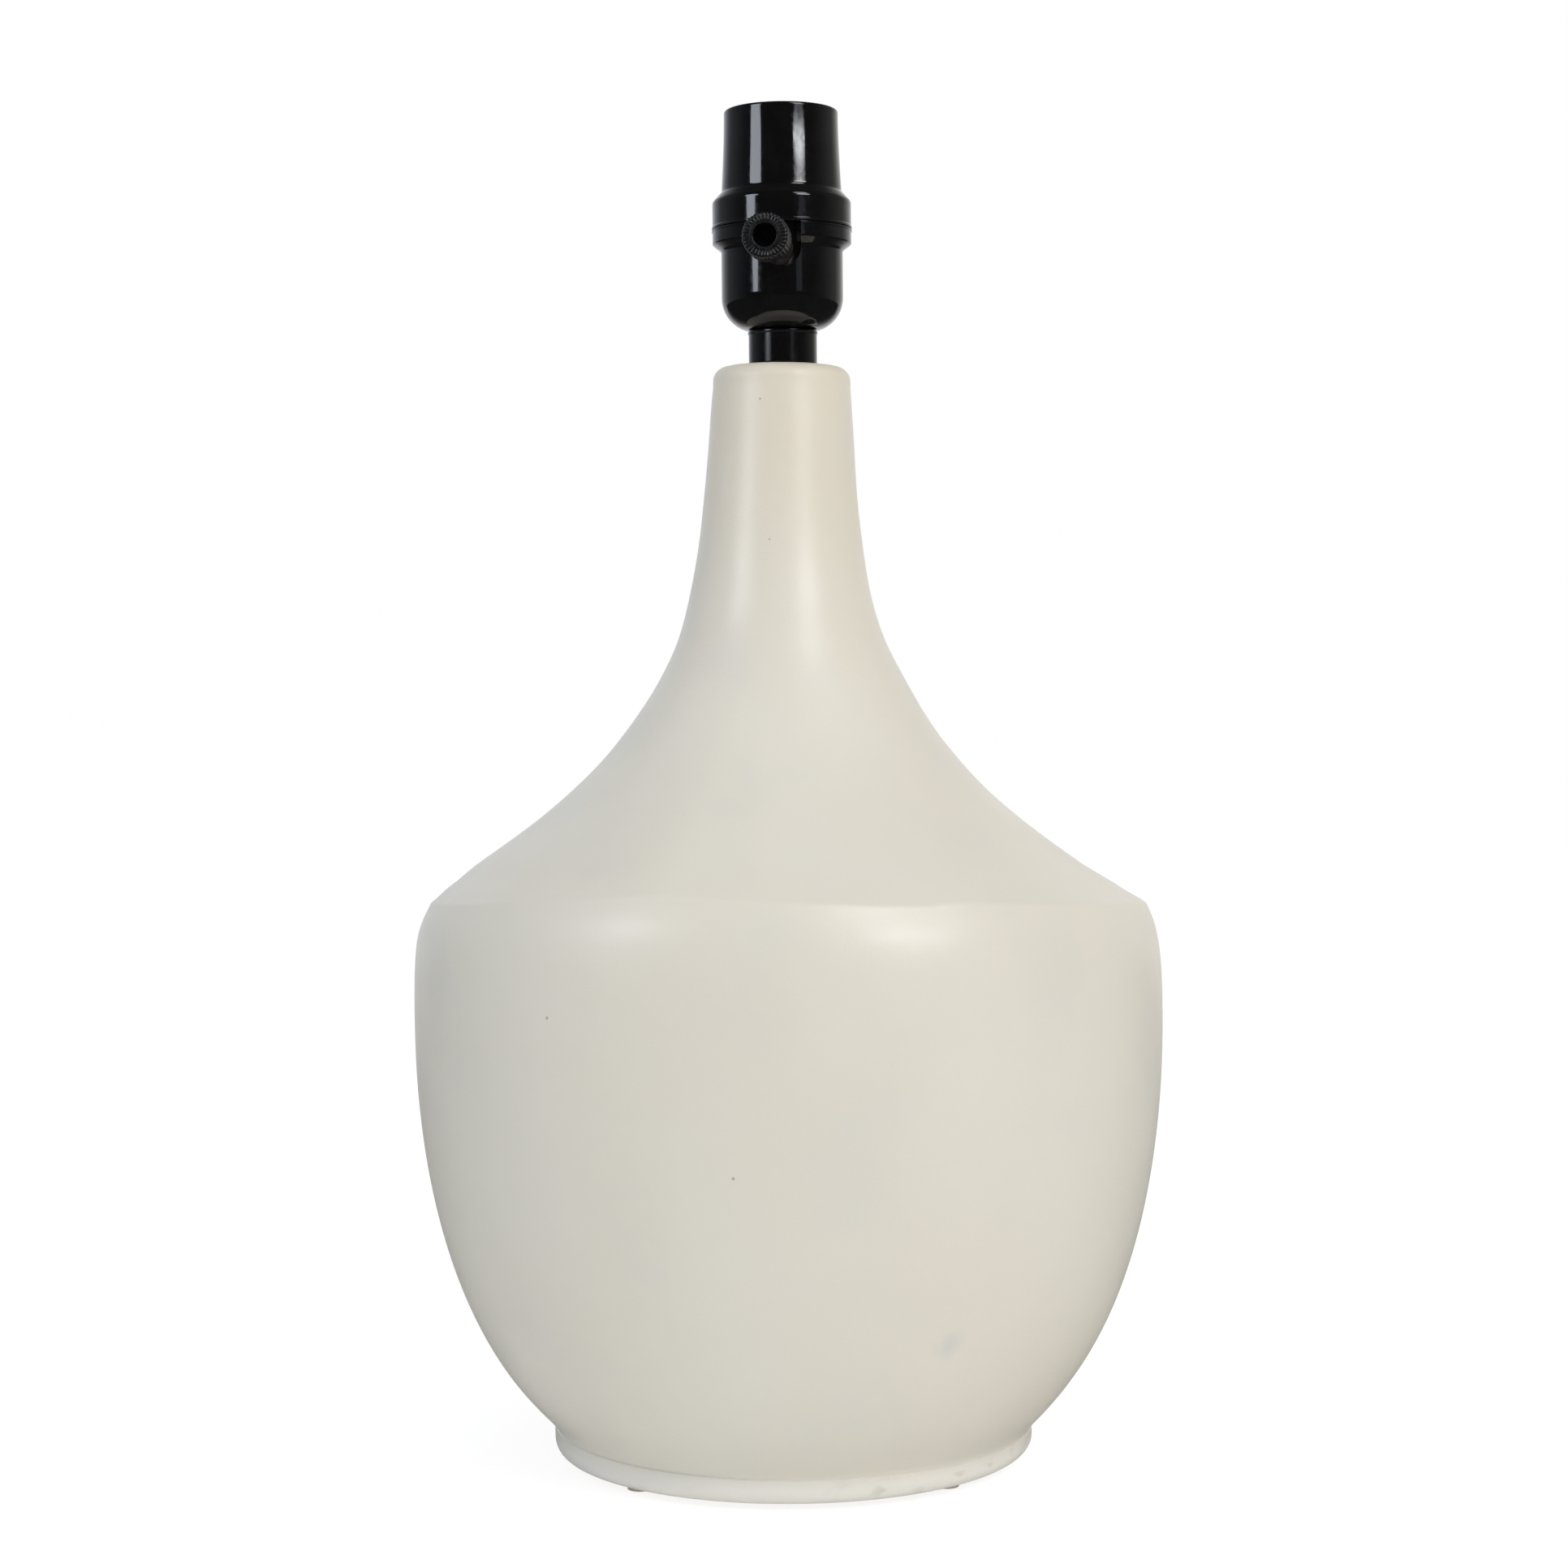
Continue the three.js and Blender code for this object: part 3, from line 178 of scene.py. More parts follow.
class LampHolderSizes(bpy.types.PropertyGroup):
    cap_radius: length("Cap radius", 17.6, "Outside of the holder's cap")
    cap_wall: length("Cap wall", 2.2, "Wall of the holder's cap")
    cap_rounding: length("Cap rounding", 9.5, "Rounding of the cap's lower edge")
    ring_radius: length("Ring radius", 20.1, "Outside of the ring where cap and shell meet")
    ring_below: length("Ring below", 4.1, "Height of the ring below the seam")
    ring_above: length("Ring above", 7.8, "Height of the ring above the seam")
    ring_edge: length("Ring edge", 1.7, "Rounding of the ring's upper edge")
    shoulder_height: length("Shoulder height", 2.8, "Height of the bevel between ring and tube")
    tube_foot_radius: length("Tube foot radius", 17.4, "Outside of the tube at its foot")
    tube_top_radius: length("Tube top radius", 16.5, "Outside of the tube at its rim")
    tube_wall: length("Tube wall", 2.3, "Wall of the tube at its rim")
    rim_rounding: length("Rim rounding", 0.8, "Rounding of the tube's rim")
    lip_height: length("Lip height", 0.6, "Height of the thin lip on each side of the seam")
    notch_radius: length("Notch radius", 5.4, "Half the width of the slot for the switch's stem")
    spacer_radius: length("Spacer radius", 9.9, "Outside of the steel spacer on the neck")
    knob_radius: length("Knob radius", 6.5, "Outside of the knob's head")
    knob_head: length("Knob head", 9.6, "Length of the knob's head")
    knob_recess_radius: length("Knob recess", 3.3, "Hollow in the knob's end")
    knob_recess_depth: length("Knob recess depth", 8.4, "Depth of the hollow in the knob's end")
    knob_rib_depth: length("Knob rib depth", 0.15, "Depth of the flutes between the knob's ribs")
    knob_ribs: IntProperty(name="Knob ribs", description="Ribs round the knob", default=34, min=3)
    thread_radius: length("Thread radius", 13.35, "Inside of the bulb's thread at its crests")
    thread_depth: length("Thread depth", 1.2, "Depth of the bulb's thread")
    thread_pitch: length("Thread pitch", 3.63, "Rise of the bulb's thread in one turn")
    sheet: length("Sheet", 0.4, "Thickness of the rolled and stamped metal")


class LampFittingSizes(bpy.types.PropertyGroup):
    pipe_bore: length("Pipe bore", 3.8, "Radius of the bore through the threaded pipe")
    pipe_pitch: length("Pipe pitch", 0.94, "Rise of the pipe's thread in one turn")
    pipe_thread: length("Pipe thread", 14, "Length of the thread at each end of the pipe")
    nut_across_flats: length("Nut across flats", 15.9, "Width of the pipe's nut")
    inlet_bore: length("Inlet bore", 4, "Radius of the cord's way through the bushing")
    inlet_sleeve: length("Inlet sleeve", 1.3, "Wall of the bushing")
    pad_rounding: length("Pad rounding", 0.4, "Rounding of the felt pads' edges")


class LampColours(bpy.types.PropertyGroup):
    glaze: colour("Glaze", "#E1DED3", "Warm white satin glaze")
    glaze_warm: colour("Warm glaze", "#DDD6C6", "Warmer tone in clouds, darker and warmer up the neck")
    glaze_cool: colour("Cool glaze", "#D6D7D3", "Where the glaze has pooled")
    # painted light: a lighter tone on the foot ring's band, for the light that the table throws up
    foot_glaze: colour("Foot painted light", "#ECEAE3", "Painted light on the foot ring, thrown up by the table")
    biscuit: colour("Biscuit", "#D9CDB8", "Bare fired clay under the foot")
    stain: colour("Stain", "#A98F74", "Handling marks on the foot ring")
    phenolic: colour("Black phenolic", "#0B0B0C", "Moulded bulb holder and knob")
    enamel: colour("Black enamel", "#0D0D0E", "Painted steel spacer")
    felt: colour("Felt", "#D8D2C4", "Pads under the foot")
    rubber: colour("Rubber", "#1E1C1A", "Gaskets")
    zinc: colour("Zinc", "#C2C6CA", "Plated pipe, nut, washers and screws")
    brass: colour("Brass", "#C9A45C", "Contact leaf, rivet and terminals")
    nickel: colour("Nickel", "#CFC9BC", "Plated neutral terminal")
    aluminium: colour("Aluminium", "#D0D3D6", "Rolled screw shell")
    nylon: colour("Nylon", "#CFC9B8", "Cord bushings")
    brown_phenolic: colour("Brown phenolic", "#1C1411", "Switch housing and cam")


class LampStudio(bpy.types.PropertyGroup):
    distance: length("Camera distance", 880, "From the lamp's axis to the camera")
    eye_height: length("Camera height", 225, "Height of the camera above the table")
    side_step: length("Camera side step", 0.82, "How far the camera stands to the left")
    pitch: slope("Pitch", 1.9515, "How far the camera looks down")
    roll: slope("Roll", -LEAN, "How far the camera leans over")
    focal_length: FloatProperty(
        name="Focal length",
        description="Lens, in millimetres",
        default=69.43,
        min=1,
        subtype="DISTANCE_CAMERA",
    )
    overhead: light_level("Overhead light", 0.67, "Soft light straight from above, 1 is white")
    frontal: light_level("Frontal light", 0.26, "Soft light straight from the front, 1 is white")
    cool: colour("Cool light", "#EFF5FF", "Soft light from the left")
    warm: colour("Warm light", "#FFFDFA", "Soft light from the right")


# Outlines, as points in the radius-height plane


def rounded_corner(before, corner, after, radius):
    """Points of the arc that rounds a corner, tangent to both of its sides."""
    to_before = (before - corner).normalized()
    to_after = (after - corner).normalized()
    half = to_before.angle(to_after) / 2
    centre = corner + (to_before + to_after).normalized() * radius / math.sin(half)
    start = corner + to_before * radius / math.tan(half) - centre
    end = corner + to_after * radius / math.tan(half) - centre
    first = math.atan2(start.y, start.x)
    sweep = math.remainder(math.atan2(end.y, end.x) - first, math.tau)
    steps = max(2, math.ceil(abs(sweep) / ARC_STEP))
    angles = [first + sweep * i / steps for i in range(steps + 1)]
    return [centre + radius * Vector((math.cos(a), math.sin(a))) for a in angles]


def beside(point, neighbour):
    """A point close to another one, on the way to its neighbour."""
    reach = (neighbour - point).length
    return point.lerp(neighbour, min(HOLD / reach, 1 / 3)) if reach > HOLD else point


def outline(corners):
    """A closed outline. Corners are (radius, height), with a rounding as third value."""
    points = [Vector(corner[:2]) for corner in corners]
    parts = []
    for i, corner in enumerate(corners):
        part = [points[i]]
        if len(corner) > 2:
            after = points[(i + 1) % len(points)]
            part = rounded_corner(points[i - 1], points[i], after, corner[2])
        parts.append(part)
    result = []
    for i, part in enumerate(parts):
        after = parts[(i + 1) % len(parts)][0]
        if len(part) > 1:
            part = [beside(part[0], parts[i - 1][-1]), *part, beside(part[-1], after)]
        result += part
    return result


def curve(start, end, handle_shares, steps):
    """A curve between two points, its handles given as shares of the way across and up."""
    across, up = end - start
    a, b = [start + Vector((x * across, y * up)) for x, y in handle_shares]
    result = []
    for i in range(steps + 1):
        t = i / steps
        s = 1 - t
        result.append(s**3 * start + 3 * s * s * t * a + 3 * s * t * t * b + t**3 * end)
    return result


def joined(first, second, radius):
    """Two curves that meet in a corner, with the corner rounded."""
    corner = first[-1]
    before = first[-2] - corner
    after = second[1] - corner
    reach = radius / math.tan(before.angle(after) / 2)
    clear = reach * 1.1  # leaves no point of either curve close beside the rounding's ends
    kept = [p for p in first if (p - corner).length > clear]
    rest = [p for p in second if (p - corner).length > clear]
    return kept + rounded_corner(corner + before, corner, corner + after, radius) + rest


# Shapes


def swept_round(section_at, around):
    """A solid whose closed section may change as it goes once round the Z axis."""
    shape = bmesh.new()
    rings = []
    for i in range(around):
        angle = math.tau * i / around
        east, north = math.cos(angle), math.sin(angle)
        rings.append([shape.verts.new((r * east, r * north, z)) for r, z in section_at(angle)])
    for ring, following in zip(rings, rings[1:] + rings[:1]):
        for j in range(len(ring)):
            k = j - 1
            shape.faces.new((ring[k], ring[j], following[j], following[k]))
    bmesh.ops.remove_doubles(shape, verts=shape.verts, dist=MM / 10000)
    bmesh.ops.recalc_face_normals(shape, faces=shape.faces)
    return shape


def turned(corners, around=96):
    """An outline turned about the Z axis."""
    points = outline(corners)
    return swept_round(lambda angle: points, around)


def ring_corners(inner, outer, bottom, top, edge):
    """The corners of a flat ring's section, with its edges rounded."""
    return [(inner, bottom, edge), (outer, bottom, edge), (outer, top, edge), (inner, top, edge)]


def prism(points, thickness):
    """A flat outline in the XY plane, made a block of some thickness."""
    shape = bmesh.new()
    face = shape.faces.new([shape.verts.new((x, y, 0)) for x, y in points])
    made = bmesh.ops.extrude_face_region(shape, geom=[face])["geom"]
    top = [item for item in made if isinstance(item, bmesh.types.BMVert)]
    bmesh.ops.translate(shape, verts=top, vec=(0, 0, thickness))
    bmesh.ops.recalc_face_normals(shape, faces=shape.faces)
    return shape


def bar(start, end, width, thickness):
    """A flat bar that lies along the X axis."""
    side = width / 2
    return prism([(start, -side), (end, -side), (end, side), (start, side)], thickness)


def lofted(loops):
    """A closed solid through loops of as many points each, flat at both ends."""
    shape = bmesh.new()
    rows = [[shape.verts.new(point) for point in loop] for loop in loops]
    for low, high in zip(rows, rows[1:]):
        for j in range(len(low)):
            shape.faces.new((low[j - 1], low[j], high[j], high[j - 1]))
    shape.faces.new(rows[0])
    shape.faces.new(rows[-1])
    bmesh.ops.recalc_face_normals(shape, faces=shape.faces)
    return shape


def moved(shape, matrix):
    """The shape after a turn and a move."""
    bmesh.ops.transform(shape, matrix=matrix, verts=shape.verts)
    return shape


def stood_at(shape, place):
    """The shape moved from the lamp's axis to a place beside it, at the same height."""
    return moved(shape, Matrix.Translation((place.x, place.y, 0)))


def rod(radius, bottom, height, place, around=32):
    """A round bar upright at a place."""
    corners = [(0, bottom), (radius, bottom), (radius, bottom + height), (0, bottom + height)]
    return stood_at(turned(corners, around), place)


def softened(shape, width):
    """The shape with its sharp edges rounded."""
    sharp = [e for e in shape.edges if len(e.link_faces) == 2 and e.calc_face_angle() > SHARP_EDGE]
    bmesh.ops.bevel(
        shape, geom=sharp, offset=width, segments=2, profile=0.5, affect="EDGES", clamp_overlap=True
    )
    return shape


def loose_object(shape):
    """An object outside the scene's pieces, made from a shape that is used up."""
    mesh = bpy.data.meshes.new("tool")
    shape.to_mesh(mesh)
    shape.free()
    made = bpy.data.objects.new("tool", mesh)
    bpy.context.scene.collection.objects.link(made)
    return made


def combined(shape, others, operation="DIFFERENCE"):
    """The shape with the others cut from it, joined to it or used to bound it."""
    whole = loose_object(shape)
    tools = [loose_object(other) for other in others]
    for tool in tools:
        step = whole.modifiers.new("combine", "BOOLEAN")
        step.operation = operation
        step.solver = "MANIFOLD"
        step.object = tool
    result = bmesh.new()
    result.from_object(whole, bpy.context.evaluated_depsgraph_get())
    for used in [whole, *tools]:
        bpy.data.meshes.remove(used.data)
    return result


def add_piece(name, shape, slot, instead_of, body="lamp", look=None):
    """Makes a shape into a piece of the lamp, in place of the nodes that it stands for."""
    mesh = bpy.data.meshes.new(name)
    shape.to_mesh(mesh)
    shape.free()
    mesh.shade_smooth()
    mesh.set_sharp_from_angle(angle=SHARP_EDGE)
    mesh.materials.append(finish(look or slot))
    piece = bpy.data.objects.new(name, mesh)
    bpy.context.scene.collection.objects.link(piece)
    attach(piece, body)
    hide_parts(*instead_of)


# Finishes

MIX_COLOURS = {"data_type": "RGBA"}
FIRST_COLOUR, SECOND_COLOUR, MIXED_COLOUR = 6, 7, 2  # the colour sockets of such a mix
SMOOTH = {"interpolation_type": "SMOOTHSTEP"}
MULTIPLY = {"operation": "MULTIPLY"}
MULTIPLY_ADD = {"operation": "MULTIPLY_ADD"}
MAXIMUM = {"operation": "MAXIMUM"}
ADD = {"operation": "ADD"}
SUBTRACT = {"operation": "SUBTRACT"}
EVEN = (0.3, 0.7)  # the part of a noise's range that gives even blots; a later start gives rarer ones


def add_node(tree, kind, inputs=None, settings=None, output=0):
    """Adds a node, sets it up, sets or links its inputs and gives one of its outputs."""
    made = tree.nodes.new(kind)
    for name, value in (settings or {}).items():
        setattr(made, name, value)
    for socket, value in (inputs or {}).items():
        if isinstance(value, bpy.types.NodeSocket):
            tree.links.new(value, made.inputs[socket])
        else:
            made.inputs[socket].default_value = value
    return made.outputs[output] if made.outputs else None


def new_material(name):
    """An empty material, its node tree and the place on the piece that its patterns start from."""
    material = bpy.data.materials.new(name)
    material.use_nodes = True
    tree = material.node_tree
    tree.nodes.clear()
    return material, tree, add_node(tree, "ShaderNodeTexCoord", output="Object")


def wander(tree, place, size, low, high, part=EVEN, detail=2.0, stretch=(1, 1, 1)):
    """A number that wanders between two values, in blots of a real size, longer along a stretch."""
    shares = [1 / (size * share) for share in stretch]
    scaled = add_node(tree, "ShaderNodeVectorMath", {0: place, 1: shares}, MULTIPLY)
    blots = add_node(tree, "ShaderNodeTexNoise", {"Vector": scaled, "Scale": 1.0, "Detail": detail})
    limits = {"From Min": part[0], "From Max": part[1], "To Min": low, "To Max": high}
    return add_node(tree, "ShaderNodeMapRange", {"Value": blots, **limits}, SMOOTH)


def surfaced(tree, base, roughness, height, depth, constants):
    """Ends a material with its shader and a relief whose height of 1 is a real depth."""
    normal = add_node(tree, "ShaderNodeBump", {"Height": height, "Distance": depth}, output="Normal")
    looks = {"Base Color": base, "Roughness": roughness, "Normal": normal, **constants}
    shader = add_node(tree, "ShaderNodeBsdfPrincipled", looks)
    add_node(tree, "ShaderNodeOutputMaterial", {"Surface": shader})


def tone(values, share=1):
    """A colour as a node takes it, darker or lighter by a share."""
    return [*(min(1, value * share) for value in values), 1.0]


def mottled(name, bright, shares, blots, gloss, relief, depth, constants):
    """A material in two tones of one colour. Blots, gloss and relief are each told to wander."""
    material, tree, place = new_material(name)
    blots, gloss, relief = [wander(tree, place, *pattern) for pattern in (blots, gloss, relief)]
    first, second = [tone(bright, share) for share in shares]
    base = {0: blots, FIRST_COLOUR: first, SECOND_COLOUR: second}
    base = add_node(tree, "ShaderNodeMix", base, MIX_COLOURS, MIXED_COLOUR)
    surfaced(tree, base, gloss, relief, depth, constants)
    return material


# Pinholes in the glaze: degrees from the front towards the right, height and radius in millimetres
PINHOLES = (
    (-36, 137, 0.4), (-10.5, 265, 0.35), (25, 240, 0.35), (-8, 97, 0.36), (-19, 305, 0.3),
)
PIT_EDGE = (0.4, 1.5)  # shares of a pinhole's radius between which its edge fades
COOL_SMUDGE = (25.8, 49, 4.5)  # a drip that was wiped thin, given in the same way


def glaze_spot(tree, place, degrees, height, solid, edge, strength):
    """A spot on the body's side, at its full strength in the middle and gone at its edge."""
    turn = math.radians(degrees)
    out = body_radius_at(bpy.context.scene.lamp_body, height * MM)
    centre = (out * math.sin(turn), -out * math.cos(turn), height * MM)
    away = {0: place, 1: centre}
    away = add_node(tree, "ShaderNodeVectorMath", away, {"operation": "DISTANCE"}, "Value")
    spot = {"Value": away, "From Min": solid, "From Max": edge, "To Min": strength, "To Max": 0}
    return add_node(tree, "ShaderNodeMapRange", spot, SMOOTH)


def cool_smudge(tree, place):
    """How much of the wiped drip shows, ragged at its edge."""
    degrees, height, radius = COOL_SMUDGE
    ragged = wander(tree, place, 9 * MM, 0.5 * radius * MM, 1.5 * radius * MM)
    return glaze_spot(tree, place, degrees, height, 0, ragged, 0.7)


def pinholes(tree, place):
    """1 in the pinholes and 0 beside them."""
    pits = 0.0
    for degrees, height, radius in PINHOLES:
        solid, edge = [radius * share * MM for share in PIT_EDGE]
        pit = glaze_spot(tree, place, degrees, height, solid, edge, 1)
        pits = add_node(tree, "ShaderNodeMath", {0: pit, 1: pits}, MAXIMUM)
    return pits


def thin_glaze(tree, place, z):
    """Where the glaze is warmer: in wide clouds, and up the neck, darker and warmer towards its top."""
    thin = wander(tree, place, 70 * MM, 0, 0.4)
    # the neck is painted darker and warmer towards its top
    neck = {"Value": z, "From Min": 215 * MM, "From Max": 300 * MM, "To Min": 0, "To Max": 0.9}
    neck = add_node(tree, "ShaderNodeMapRange", neck, SMOOTH)
    return add_node(tree, "ShaderNodeMath", {0: thin, 1: neck}, MAXIMUM)


def handling_marks(tree, place, x, foot):
    """Brown marks that hands have left on the foot ring, most on its right."""
    right = {"Value": x, "From Min": 5 * MM, "From Max": 25 * MM, "To Min": 0.15, "To Max": 1}
    right = add_node(tree, "ShaderNodeMapRange", right, SMOOTH)
    handled = add_node(tree, "ShaderNodeMath", {0: foot, 1: right}, MULTIPLY)
    marks = wander(tree, place, 9 * MM, 0, 0.3, (0.52, 0.74), 2, (1, 1, 0.4))
    return add_node(tree, "ShaderNodeMath", {0: handled, 1: marks}, MULTIPLY)


def unglazed(tree, place, z):
    """Where the clay is bare: the hollow under the foot and the face that it was fired on."""
    sizes = bpy.context.scene.lamp_body
    flat = add_node(tree, "ShaderNodeVectorMath", {0: place, 1: (1, 1, 0)}, MULTIPLY)
    out = add_node(tree, "ShaderNodeVectorMath", {0: flat}, {"operation": "LENGTH"}, "Value")
    edge = sizes.foot_radius - sizes.foot_rounding
    inside = {"Value": out, "From Min": edge - 2 * MM, "From Max": edge + 1 * MM}
    inside = {**inside, "To Min": 1, "To Max": 0}
    inside = add_node(tree, "ShaderNodeMapRange", inside, SMOOTH)
    ceiling = BODY_BOTTOM + sizes.recess_height
    below = {"Value": z, "From Min": ceiling + 1 * MM, "From Max": ceiling + 3 * MM}
    below = add_node(tree, "ShaderNodeMapRange", {**below, "To Min": 1, "To Max": 0})
    return add_node(tree, "ShaderNodeMath", {0: inside, 1: below}, MULTIPLY)


def satin_glaze_on_stoneware(colours):
    """Opaque white glaze, fired to a satin: soft broad highlights, faint clouds, rare pinholes.

    It is warmer in clouds, darker and warmer up the neck and cool where it has pooled, and is
    painted lighter on the foot ring, for the light that the table throws up.
    The bare clay's grit, about 0.3 mm, is drawn nearly three times as coarse.
    """
    material, tree, place = new_material("satin_glaze_on_stoneware")
    x, _, z = add_node(tree, "ShaderNodeSeparateXYZ", {0: place}).node.outputs
    pooled = wander(tree, place, 34 * MM, 0, 0.28, (0.5, 0.72), 3)
    # where the foot ring's painted light lies; the handling marks keep to it too
    foot = {"Value": z, "From Min": 5.5 * MM, "From Max": 11 * MM, "To Min": 1, "To Max": 0}
    foot = add_node(tree, "ShaderNodeMapRange", foot, SMOOTH)
    pits = pinholes(tree, place)
    pit_shade = add_node(tree, "ShaderNodeMath", {0: pits, 1: 0.5}, MULTIPLY)
    bare = unglazed(tree, place, z)
    grit = wander(tree, place, 0.8 * MM, 0.86, 1, EVEN, 4)
    clay = {0: tone(colours.biscuit)[:3], 3: grit}
    clay = add_node(tree, "ShaderNodeVectorMath", clay, {"operation": "SCALE"})
    base = tone(colours.glaze)
    for share, laid_over in (
        (thin_glaze(tree, place, z), tone(colours.glaze_warm)),
        (pooled, tone(colours.glaze_cool)),
        # painted light on the foot ring's band
        (foot, tone(colours.foot_glaze)),
        (handling_marks(tree, place, x, foot), tone(colours.stain)),
        (cool_smudge(tree, place), tone(colours.glaze_cool, 0.93)),
        (pit_shade, tone(colours.stain, 0.6)),
        (bare, clay),
    ):
        layer = {0: share, FIRST_COLOUR: base, SECOND_COLOUR: laid_over}
        base = add_node(tree, "ShaderNodeMix", layer, MIX_COLOURS, MIXED_COLOUR)

    satin = wander(tree, place, 22 * MM, 0.34, 0.4, EVEN, 3)
    dull = add_node(tree, "ShaderNodeMix", {0: bare, 2: satin, 3: 0.9})
    peel = wander(tree, place, 1.7 * MM, 0, 0.24, (0.2, 0.8), 1)
    waves = wander(tree, place, 11 * MM, 0, 1, (0.2, 0.8), 1)
    relief = add_node(tree, "ShaderNodeMath", {0: peel, 1: waves}, ADD)
    sunk = add_node(tree, "ShaderNodeMath", {0: pits, 1: 3.0}, MULTIPLY)
    relief = add_node(tree, "ShaderNodeMath", {0: relief, 1: sunk}, SUBTRACT)
    surfaced(tree, base, dull, relief, 0.07 * MM, {"IOR": 1.5})
    return material


def moulded_black_phenolic(colours):
    """Compression-moulded and glossy: crisp reflections, faintly grained by the mould.

    The mould's grain, about 0.1 mm, is drawn ten times as coarse, or it would not show.
    """
    bloom = (6 * MM, 0, 1, (0.35, 0.75), 4)
    gloss = (1.1 * MM, 0.06, 0.13, (0.35, 0.8), 5, (1, 1, 2))
    waves = (1.6 * MM, 0, 1, (0.2, 0.8), 2, (1, 1, 2))
    looks = (colours.phenolic, (1, 1.5), bloom, gloss, waves, 0.0012 * MM, {"IOR": 1.55})
    return mottled("moulded_black_phenolic", *looks)


def handled_black_phenolic(colours):
    """The same moulding where fingers turn it: rougher, with pale rubbed specks on its ribs.

    The specks, about 0.2 mm, are drawn more than twice as coarse, or they would not show.
    """
    rubbed = (0.5 * MM, 0, 0.3, (0.55, 0.8), 5)
    gloss = (0.6 * MM, 0.26, 0.48, EVEN, 4)
    specks = (0.5 * MM, 0, 1, (0.25, 0.75), 4)
    looks = (colours.phenolic, (1, 4), rubbed, gloss, specks, 0.03 * MM, {"IOR": 1.55})
    return mottled("handled_black_phenolic", *looks)


def black_enamelled_steel(colours):
    """Sprayed and baked enamel on turned steel: glossy with a soft orange peel and tiny chips."""
    chips = (0.8 * MM, 0, 0.25, (0.68, 0.74), 3)
    gloss = (2 * MM, 0.1, 0.16)
    peel = (0.8 * MM, 0, 1, (0.2, 0.8), 1)
    looks = (colours.enamel, (1, 8), chips, gloss, peel, 0.002 * MM, {"IOR": 1.5})
    return mottled("black_enamelled_steel", *looks)


def pressed_wool_felt(colours):
    """Short tangled fibres: no shine, a soft mottled white and a fuzzy edge.

    A fibre, about 0.03 mm, is drawn ten times as coarse, or it would not show.
    """
    material, tree, place = new_material("pressed_wool_felt")
    fibres = wander(tree, place, 0.35 * MM, 0, 1, (0.25, 0.75), 5, (1, 2.5, 0.6))
    base = {0: fibres, FIRST_COLOUR: tone(colours.felt, 0.8), SECOND_COLOUR: tone(colours.felt)}
    base = add_node(tree, "ShaderNodeMix", base, MIX_COLOURS, MIXED_COLOUR)
    surfaced(tree, base, 1.0, fibres, 0.15 * MM, {"Sheen Weight": 0.3, "Sheen Roughness": 0.6})
    return material


def matt_black_rubber(colours):
    """Cut from sheet: dull, with a blotchy talc bloom.

    The sheet's grain, about 0.1 mm, is drawn four times as coarse, or it would not show.
    """
    talc = (2.5 * MM, 0, 1, (0.45, 0.75), 4)
    dull = (2.5 * MM, 0.62, 0.85, (0.45, 0.75), 4)
    grain = (0.4 * MM, 0, 1, EVEN, 3)
    looks = (colours.rubber, (1, 2.6), talc, dull, grain, 0.02 * MM, {"IOR": 1.52})
    return mottled("matt_black_rubber", *looks)


def worked_metal(name, bright, dark_share, roughness, line, stretch, depth):
    """Bare or plated metal, tarnished in blots, with tool marks that run along the stretch."""
    tarnish = (8 * MM, 0, 0.6, (0.45, 0.8), 4)
    gloss = (line, *roughness, (0.25, 0.75), 4, stretch)
    marks = (line, 0, 1, (0.25, 0.75), 4, stretch)
    looks = (bright, (1, dark_share), tarnish, gloss, marks, depth, {"Metallic": 1.0})
    return mottled(name, *looks)


def bright_zinc_plate(colours):
    """Zinc-plated steel: pale, slightly blue, with fine lines left by the lathe.

    The lines, about 0.1 mm apart, are drawn more than twice as coarse, or they would not show.
    """
    lines = {"line": 0.25 * MM, "stretch": (8, 8, 1), "depth": 0.004 * MM}
    return worked_metal("bright_zinc_plate", colours.zinc, 0.62, (0.26, 0.42), **lines)


def drawn_brass(colours):
    """Drawn and stamped brass: yellow, lightly tarnished, with fine draw lines.

    The lines, about 0.05 mm apart, are drawn four times as coarse, or they would not show.
    """
    lines = {"line": 0.2 * MM, "stretch": (1, 10, 1), "depth": 0.003 * MM}
    return worked_metal("drawn_brass", colours.brass, 0.55, (0.22, 0.38), **lines)


def nickel_plate(colours):
    """Nickel-plated brass: warm silver, nearly mirror bright, without lines."""
    grain = {"line": 0.5 * MM, "stretch": (1, 1, 1), "depth": 0.002 * MM}
    return worked_metal("nickel_plate", colours.nickel, 0.7, (0.14, 0.26), **grain)


def rolled_aluminium(colours):
    """Rolled thin sheet: satin, with lines that follow the rolling round the shell.

    The lines, about 0.05 mm apart, are drawn six times as coarse, or they would not show.
    """
    lines = {"line": 0.3 * MM, "stretch": (12, 12, 1), "depth": 0.004 * MM}
    return worked_metal("rolled_aluminium", colours.aluminium, 0.7, (0.24, 0.4), **lines)


def moulded_nylon(colours):
    """Natural nylon: milky, half-matt, letting a little light in at its edges.

    The mould's grain, about 0.1 mm, is drawn five times as coarse, or it would not show.
    """
    aged = (5 * MM, 0, 1, (0.35, 0.7), 3)
    gloss = (5 * MM, 0.42, 0.55, (0.35, 0.7), 3)
    grain = (0.5 * MM, 0, 1)
    milky = {"IOR": 1.53, "Subsurface Weight": 0.2, "Subsurface Scale": 1.5 * MM}
    looks = (colours.nylon, (1, 0.84), aged, gloss, grain, 0.01 * MM, milky)
    return mottled("moulded_nylon", *looks)


